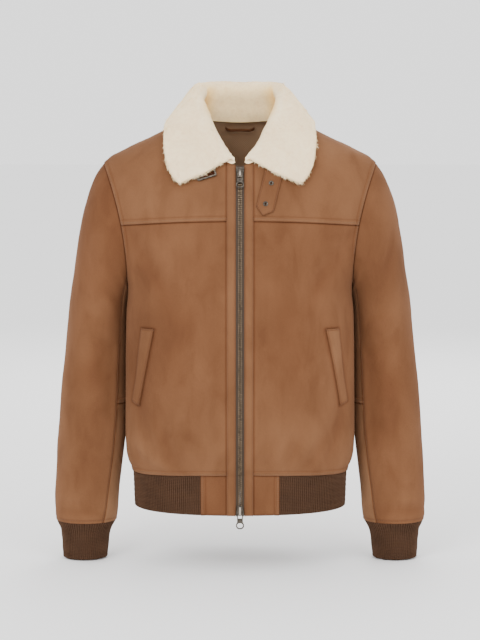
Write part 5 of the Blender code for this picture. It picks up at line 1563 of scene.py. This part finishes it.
def makeCollar():
    half = np.unique(np.concatenate((np.linspace(9, 12, 8), np.linspace(12, 180, collar["halfRows"]))))
    sections = np.array([collarSection(angle, collar["columns"]) for angle in half])
    # the ends of the leaf are cut with a swell
    share = np.linspace(0, 1, collar["columns"])[None, :]
    onLeaf = np.clip((share - collar["swellFrom"]) / (1 - collar["swellFrom"]), 0, 1)
    swell = collar["endSwell"] * np.sin(np.pi * onLeaf) ** 0.7 * ease((26 - half[:, None]) / 17)
    sections = sections - unit(np.gradient(sections, axis=0)) * swell[..., None]
    # and its corners are round
    near = sideDistances(sections)
    u = np.clip(1 - near["low"] / collar["cornerRound"], 0, 1)
    v = np.clip(1 - near["right"] / collar["cornerRound"], 0, 1)
    pullU, pullV = u * (1 - np.sqrt(1 - v**2 / 2)), v * (1 - np.sqrt(1 - u**2 / 2))
    along, across = unit(np.gradient(sections, axis=0)), unit(np.gradient(sections, axis=1))
    sections = sections + collar["cornerRound"] * (along * pullU[..., None] - across * pullV[..., None])
    under = np.concatenate((sections, mirrored(sections[-2::-1], -1)))
    out = unit(np.cross(np.gradient(under, axis=1), np.gradient(under, axis=0)))
    turns = np.radians(np.concatenate((half, -half[-2::-1])))
    out[:, 0] = np.stack((-np.sin(turns), np.cos(turns), np.zeros(len(turns))), axis=-1)
    d = sideDistances(under)
    nearest = np.minimum(np.minimum(d["low"], d["high"]), d["right"])
    roundness = np.sqrt(1 - (1 - np.clip(nearest / collar["edgeRound"], 0.06, 1)) ** 2)
    lumps = [[noise.noise(p * 55) + 0.8 * noise.noise(p * 24) for p in map(Vector, row)] for row in under]
    thick = collar["skin"] * roundness + collar["lumps"] * np.array(lumps) * roundness
    outer = under + out * thick[..., None]
    # inside the neck the pile is worn flat, and the cloth is tan, with painted shade deepening towards the
    # sides
    neckAngle = np.abs(np.degrees(turns))[:, None]
    inNeck = ease((0.27 + 0.11 * ease((neckAngle - 115) / 20) - share) / 0.10) * ease((neckAngle - 40) / 30)
    atSide, atBack = collar["neckTanAndShade"]
    shade = 1 - (1 - atSide - (atBack - atSide) * ease((neckAngle - 118) / 32)) * inNeck
    piece = clothWall("fleece_collar", outer, under + out * 0.0001, (fleeceGround, suede), shade=shade)
    # the fleece is turned in at the ends of the roll
    picks = np.zeros(len(piece.data.polygons), np.int32)
    piece.data.polygons.foreach_get("material_index", picks)
    rows, columns = under.shape[0] - 1, under.shape[1] - 1
    turnedIn = (np.minimum(d["low"], d["high"])[:-1, :-1] < 0.016) & (share[:, :-1] < 0.62)
    inner = picks[rows * columns:2 * rows * columns].reshape(rows, columns)
    inner[turnedIn] = 0
    piece.data.polygons.foreach_set("material_index", picks)
    # the comb of the pile: over the roll and down the leaf, and out over the ends
    comb = unit(np.gradient(outer, axis=1))
    along = unit(np.gradient(outer, axis=0))
    nearHigh, nearLow = (np.clip(1 - d[end] / 0.010, 0, 1) for end in ("high", "low"))
    endward = (nearHigh - nearLow)[..., None] * along
    comb = unit(comb * ease(d["left"] / 0.05)[..., None] + np.array((0, 0, 0.0001))) + endward * 1.4
    return piece, outer, comb


def growPile(outer, comb):
    # the pile is grown on the outside alone, in five pieces round the neck
    w, l, c = collar["strandWidth"] / 2, collar["strandLength"], collar["strandCurl"]
    mesh = bpy.data.meshes.new("fleece_strand")
    points = [(-w, 0, 0), (w, 0, 0), (w * 0.1, c * 0.45, l * 0.6), (-w * 0.3, c * 1.5, l)]
    mesh.from_pydata(points, [], [(0, 1, 2), (0, 2, 3)])
    shape = placed("fleece_strand", mesh)
    rows, columns = outer.shape[:2]
    ends = collar["endRows"]
    cuts = [0, ends, rows // 3, rows - rows // 3, rows - ends, rows - 1]
    away = np.cross(outer[1:, :-1] - outer[:-1, :-1], outer[:-1, 1:] - outer[:-1, :-1])
    total = np.linalg.norm(away, axis=-1)[:, int(collar["pileFrom"]["round"] * columns):].sum()
    pieces = []
    for number, (low, high) in enumerate(zip(cuts[:-1], cuts[1:]), 1):
        # it reaches further in at the ends of the collar
        start = int(collar["pileFrom"]["end" if number in (1, 5) else "round"] * columns)
        grid, lean = outer[low:high + 1, start:], comb[low:high + 1, start:]
        count = np.arange(grid.shape[0] * grid.shape[1]).reshape(grid.shape[:2])
        corners = (count[:-1, :-1], count[:-1, 1:], count[1:, 1:], count[1:, :-1])
        faces = np.stack(corners, axis=-1).reshape(-1, 4)
        mesh = bpy.data.meshes.new("fleece_host")
        mesh.from_pydata(grid.reshape(-1, 3).tolist(), [], faces[:, ::-1].tolist())
        combed = mesh.attributes.new("comb", "FLOAT_VECTOR", "POINT")
        combed.data.foreach_set("vector", lean.astype(np.float32).ravel())
        host = placed("fleece_host", mesh)
        pieces.append(grown(f"fleece_pile_{number}", host, trees["pile"], {
            "Density": collar["strands"] / total, "Strand": shape, "Comb": collar["comb"], "Seed": 7 + number,
            "Tuft Lean": collar["tuftLean"], "Tuft Scale": collar["tuftScale"], "Finish": fleecePile,
        }))
    bpy.data.objects.remove(shape)
    return pieces


collarPiece, collarOuter, collarComb = makeCollar()
pile = growPile(collarOuter, collarComb)
for piece in pile:
    carry(piece)
declare(collarPiece, "collar", collar["cut"])
print("collar made")


# pieces laid on the front
throatStrap = {
    # pointed end, low left, top left, top right and low right corners, as x and height
    "corners": (
        (0.0373, -0.1575), (0.0263, -0.1424), (0.0430, -0.0740), (0.0725, -0.0830), (0.0552, -0.1502),
    ),
    "tipShare": 0.45,  # how far across the strap its point lies
    "lift": 0.0005,
    "thickness": 0.0024,
    "eyelets": ((0.0510, -0.1055), (0.0417, -0.1386)),
    "eyeletHole": 0.0022,
    "cut": (0.040, 0.089),
}


def laidOnFront(places, side, lift):
    points = bodyPoint(places[..., 0], places[..., 1], front)
    out = bodyOut(points, front)
    return points, out, bodyFolds(mirrored(points, side), front) + lift


def makeWelt(name, side):
    u = closeSteps(14, 0.14, 8)[None, :, None]
    v = closeSteps(60, 0.02, 8)[:, None, None]
    a, b, c, d = (np.array(corner)[None, None] for corner in pocketWelts["corners"])
    places = (1 - v) * ((1 - u) * a + u * b) + v * ((1 - u) * d + u * c)
    points, out, moved = laidOnFront(places, side, pocketWelts["lift"] + pocketWelts["thickness"])
    moved = moved + pocketWelts["crown"] * np.sin(np.pi * u[..., 0])
    styles = {"low": "edge", "high": "edge", "left": "edge", "right": "edge"}
    return sewnPanel(name, points, out, pocketWelts["thickness"], (suede, lining), styles, moved, side)


def makeStrap(name):
    tip, lowLeft, topLeft, topRight, lowRight = (np.array(corner) for corner in throatStrap["corners"])
    tipShare = throatStrap["tipShare"]
    u = np.unique(np.concatenate((closeSteps(22, 0.08, 6), [tipShare])))[None, :, None]
    v = closeSteps(60, 0.05, 8)[:, None, None]
    places = (1 - v) * ((1 - u) * lowLeft + u * lowRight) + v * ((1 - u) * topLeft + u * topRight)
    reach = np.minimum(u / tipShare, (1 - u) / (1 - tipShare))
    pointed = tip - lowLeft - tipShare * (lowRight - lowLeft)
    places = places + pointed * reach * np.clip(1 - v * 7, 0, 1)
    overSeam = seams["lapRise"] * np.clip((bodyShape["yokeSeam"] + 0.018 - places[..., 1]) / 0.006, 0, 1)
    points, out, _ = laidOnFront(places, 1, 0)
    styles = {"low": "edge", "left": "edge", "right": "edge"}
    moved = throatStrap["lift"] + throatStrap["thickness"] + overSeam
    return sewnPanel(name, points, out, throatStrap["thickness"], (strapSuede, strapSuede), styles, moved)


def placeOnFront(x, height, lift=0.0):
    # X across the front, Y into the cloth and Z up along it
    point = bodyPoint(np.array(abs(x)), np.array(height), front)
    away = bodyOut(point[None], front)[0]
    if x < 0:
        point, away = mirrored(point, -1), mirrored(away, -1)
    inward = Vector(-away)
    across = (Vector((1, 0, 0)) - inward.x * inward).normalized()
    place = Matrix((across, inward, across.cross(inward))).transposed().to_4x4()
    place.translation = Vector(point) + lift * Vector(away)
    return place


def punched(piece, places, radius):
    # holes through a piece, one for each place
    for place in places:
        drill = bmesh.new()
        upright = place @ Matrix.Rotation(math.pi / 2, 4, "X")
        bmesh.ops.create_cone(drill, cap_ends=True, segments=24, radius1=radius, radius2=radius, depth=0.02,
                              matrix=upright)
        mesh = bpy.data.meshes.new("drill")
        drill.to_mesh(mesh)
        drill.free()
        tool = placed("drill", mesh)
        cut = piece.modifiers.new("hole", "BOOLEAN")
        cut.operation, cut.object, cut.solver = "DIFFERENCE", tool, "EXACT"
        shaped = bpy.data.meshes.new_from_object(piece.evaluated_get(bpy.context.evaluated_depsgraph_get()))
        piece.modifiers.clear()
        piece.data = shaped
        bpy.data.objects.remove(tool)
    return piece


for side, word in sides:
    declare(makeWelt(f"suede_pocket_welt_{word}", side), f"pocket_welt_{word}", pocketWelts["cut"])
holes = [placeOnFront(x, height) for x, height in throatStrap["eyelets"]]
strap = punched(makeStrap("suede_throat_strap"), holes, throatStrap["eyeletHole"])
declare(strap, "throat_strap", throatStrap["cut"])

buckleTab = {
    "place": (-0.0562, -0.0898),
    "turn": 17,
    "width": 0.0330,
    "height": 0.0190,
    "wire": 0.0024,
    "lift": 0.0031,
    "thickness": 0.0012,
    "gap": 0.0003,
    "reach": 0.0120,  # how far the tab runs on above the bar
}


def bucklePlace():
    turned = Matrix.Rotation(math.radians(-buckleTab["turn"]), 4, "Y")
    return placeOnFront(*buckleTab["place"], buckleTab["lift"]) @ turned


def tubeFaces(rings, count):
    # the skin of a solid from its rings of points, with a cap at each end
    total = rings * count
    faces = [tuple(range(count)), tuple(range(total - count, total))]
    for k in range(rings - 1):
        for j in range(count):
            a, b = k * count + j, k * count + (j + 1) % count
            faces.append((a, b, b + count, a + count))
    return faces


def makeBucklePad(name):
    # a dark leather patch that shows inside the buckle's frame
    place = bucklePlace()
    half = buckleTab["width"] / 2 - buckleTab["wire"] - 0.0008
    low, high = -buckleTab["height"] / 2 + 0.0014, buckleTab["height"] / 2 - 0.0062
    across = half * (2 * closeSteps(24, 0.1) - 1)
    up = low + (high - low) * closeSteps(14, 0.1)
    local = np.array([[(x, 0.0015, z) for x in across] for z in up])
    turn = np.array(place.to_3x3())
    points = local @ turn.T + np.array(place.translation)
    out = np.broadcast_to(-turn[:, 1], points.shape)
    d = sideDistances(points)
    nearest = np.minimum(np.minimum(d["low"], d["high"]), np.minimum(d["left"], d["right"]))
    drop = 0.0004 * np.clip(1 - nearest / 0.0012, 0, 1) ** 2
    return clothWall(name, points - out * drop[..., None], points - out * 0.0010, (loopLeather, loopLeather))


def makeBuckleTab(name):
    # a folded tab that runs round the upper bar of the buckle
    tab = buckleTab
    bar, clear = (tab["height"] - tab["wire"]) / 2, tab["wire"] / 2 + tab["gap"]
    turns = np.linspace(0, math.pi, 17)

    def side(reach):
        ends = [(bar + tab["reach"], -reach), (bar + clear, -reach)]
        bend = [(bar - clear * 0.6 - reach * math.sin(t), -reach * math.cos(t)) for t in turns]
        return ends + bend + [(bar + clear, reach), (bar + tab["reach"], reach)]

    profile = np.array(side(clear) + side(clear + tab["thickness"])[::-1])
    place = bucklePlace()
    half = (tab["width"] - 2 * tab["wire"]) / 2 - 0.001
    across = np.concatenate(([-half], np.linspace(-half + 0.0006, half - 0.0006, 20), [half]))
    middle = profile.mean(axis=0)
    points = []
    for x in across:
        shrink = 0.985 if abs(abs(x) - half) < 1e-9 else 1.0
        for z, away in (middle + (profile - middle) * shrink):
            points.append(tuple(place @ Vector((x, -away, z))))
    return pieceMesh(name, np.array(points), tubeFaces(len(across), len(profile)), (loopLeather,))


hangerLoop = {
    "half": 0.0250,
    "height": -0.0125,
    "width": 0.0055,
    "thickness": 0.0014,
    "reach": 0.0065,
    "gap": 0.00045,
    "endShare": 0.28,  # the share of its half length over which it turns in
}


def makeHangerLoop(name):
    # a rolled strip along the back neck, its ends turned in to the lining
    loop = hangerLoop
    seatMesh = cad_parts["back_lining"].data
    surface = BVHTree.FromPolygons([v.co for v in seatMesh.vertices], [f.vertices for f in seatMesh.polygons])
    stops, ups = [], []
    straight = 1 - loop["endShare"]
    ends = (np.linspace(-1, -straight, 8), np.linspace(straight, 1, 8))
    for x in np.concatenate((ends[0], np.linspace(-0.66, 0.66, 21), ends[1])):
        point = bodyPoint(np.array(loop["half"] * x), np.array(loop["height"]), back)
        inward = -bodyOut(point[None], back)[0]
        reach = loop["reach"] * min(1, (1 - abs(x)) / loop["endShare"]) ** 0.5
        seat = np.array(surface.ray_cast(Vector(point + inward * 0.03), Vector(-inward))[0])
        stops.append(seat + inward * (loop["thickness"] / 2 + loop["gap"] + reach))
        ups.append(unit(np.array((0, 0, 1)) - inward[2] * inward))
    stops, ups = np.array(stops), np.array(ups)
    away = unit(np.cross(np.gradient(stops, axis=0), ups))
    turns = np.linspace(0, 2 * math.pi, 14, endpoint=False)
    points = []
    for stop, up, out in zip(stops, ups, away):
        for t in turns:
            wide = math.copysign(abs(math.cos(t)) ** 0.6, math.cos(t)) * loop["width"] / 2
            deep = math.copysign(abs(math.sin(t)) ** 0.8, math.sin(t)) * loop["thickness"] / 2
            points.append(stop + up * wide + out * deep)
    return pieceMesh(name, np.array(points), tubeFaces(len(stops), len(turns)), (hangerLeather,))


declare(makeBuckleTab("leather_buckle_tab"), "buckle_loop")
declare(makeBucklePad("leather_buckle_pad"), None)
declare(makeHangerLoop("leather_hanger_loop"), "hanger_loop")
print("laid pieces made")


# zip
zipChain = {"pitch": 0.0037, "line": 0.0012, "depth": 0.0012, "toothHeight": 0.0020, "toothDepth": 0.0023}


def chainLine(side, shift):
    top = neckline(np.array([0.0]))[0, 2] - 0.004
    height = np.linspace(bodyShape["hem"] + 0.003 + shift, top, 500)
    points = bodyPoint(np.full(len(height), zipChain["line"]), height, front)
    points = points - bodyOut(points, front) * zipChain["depth"]
    return mirrored(points, side)


teeth = []
for side, word in sides:
    host = linesHost(f"teeth_line_{word}", [chainLine(side, zipChain["pitch"] / 2 if side < 0 else 0.0)])
    teeth.append(grown(f"zip_teeth_{word}", host, trees["tooth"], {
        "Pitch": zipChain["pitch"], "Side": float(side), "Height": zipChain["toothHeight"],
        "Depth": zipChain["toothDepth"], "Finish": teethMetal,
    }))
for piece in teeth:
    for polygon in piece.data.polygons:
        polygon.use_smooth = len(polygon.vertices) == 3
    carry(piece)
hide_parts("zip_chain")

metalParts = {"throat_buckle": metalFinish("buckle_metal", metalTones["buckle"], 0.22)}
for node in ("strap_eyelet_1", "strap_eyelet_2", "zip_pull_top", "zip_pull_bottom"):
    metalParts[node] = darkMetal
# the sliders get a painted highlight on their fronts
for node in ("zip_slider_top", "zip_slider_bottom"):
    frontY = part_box(node)[0][1]
    metalParts[node] = metalFinish(f"{node}_metal", metalTones["dark"], 0.22, (frontY, 0.0030))
for node, finish in metalParts.items():
    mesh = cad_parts[node].data
    mesh.materials.clear()
    mesh.materials.append(finish)
print("zip made")


# stitches
sewing = {"pitch": 0.0036, "length": 0.0027, "thickness": 0.00062}
for place, lines in stitchLines.items():
    piece = grown(f"stitches_{place}", linesHost(f"stitch_lines_{place}", lines), trees["stitch"], {
        "Pitch": sewing["pitch"], "Length": sewing["length"], "Thickness": sewing["thickness"],
        "Finish": thread,
    })
    carry(piece)
print("sewn")


# studio
studio = {
    "cameraPlace": (0.0, -3.4, 0.0),
    "aim": (0.0, 0.0, -0.34),
    "lens": 113,
    "sensor": 36,
    "floor": 0.94,
    "floorReach": 30,
    "world": 1.8,
    "lights": (
        # name, place, aim, size, power
        ("key", (-1.3, -2.4, 1.5), (0, 0, -0.3), 1.6, 47),
        ("fill", (1.7, -2.2, 0.5), (0, 0, -0.35), 1.8, 24.5),
        ("back", (0.4, 2.6, 1.3), (0, 0, -0.3), 1.8, 38),
    ),
}


def aimed(thing, place, aim):
    thing.location = place
    thing.rotation_euler = (Vector(aim) - Vector(place)).to_track_quat("-Z", "Y").to_euler()


def addLight(name, place, aim, size, power):
    light = bpy.data.lights.new(name, "AREA")
    light.shape, light.size, light.energy = "DISK", size, power
    aimed(placed(name, light), place, aim)


def makeStudio():
    low, reach = cadBox[0][2] - 0.002, studio["floorReach"]
    corners = [(x * reach, y * reach, low) for x, y in ((-1, -1), (1, -1), (1, 1), (-1, 1))]
    floorMesh = bpy.data.meshes.new("studio_floor")
    floorMesh.from_pydata(corners, [], [(0, 1, 2, 3)])
    paint, tree, shader, place = newFinish("studio_paint")
    soft = greys((0.2, studio["floor"]), (0.8, 1.01 * studio["floor"]))
    tree.links.new(ramp(tree, noiseNode(tree, place, 0.6, 2), soft), shader.inputs["Base Color"])
    setAll(shader, {"Roughness": 0.9, "Specular IOR Level": 0.1})
    floorMesh.materials.append(paint)
    placed("studio_floor", floorMesh)
    world = bpy.data.worlds.new("studio_air")
    world.use_nodes = True
    setAll(world.node_tree.nodes["Background"], {"Color": (1, 1, 1, 1), "Strength": studio["world"]})
    bpy.context.scene.world = world
    for light in studio["lights"]:
        addLight(*light)
    camera = bpy.data.cameras.new("camera")
    camera.lens, camera.sensor_width = studio["lens"], studio["sensor"]
    seat = placed("camera", camera)
    aimed(seat, studio["cameraPlace"], studio["aim"])
    bpy.context.scene.camera = seat


makeStudio()
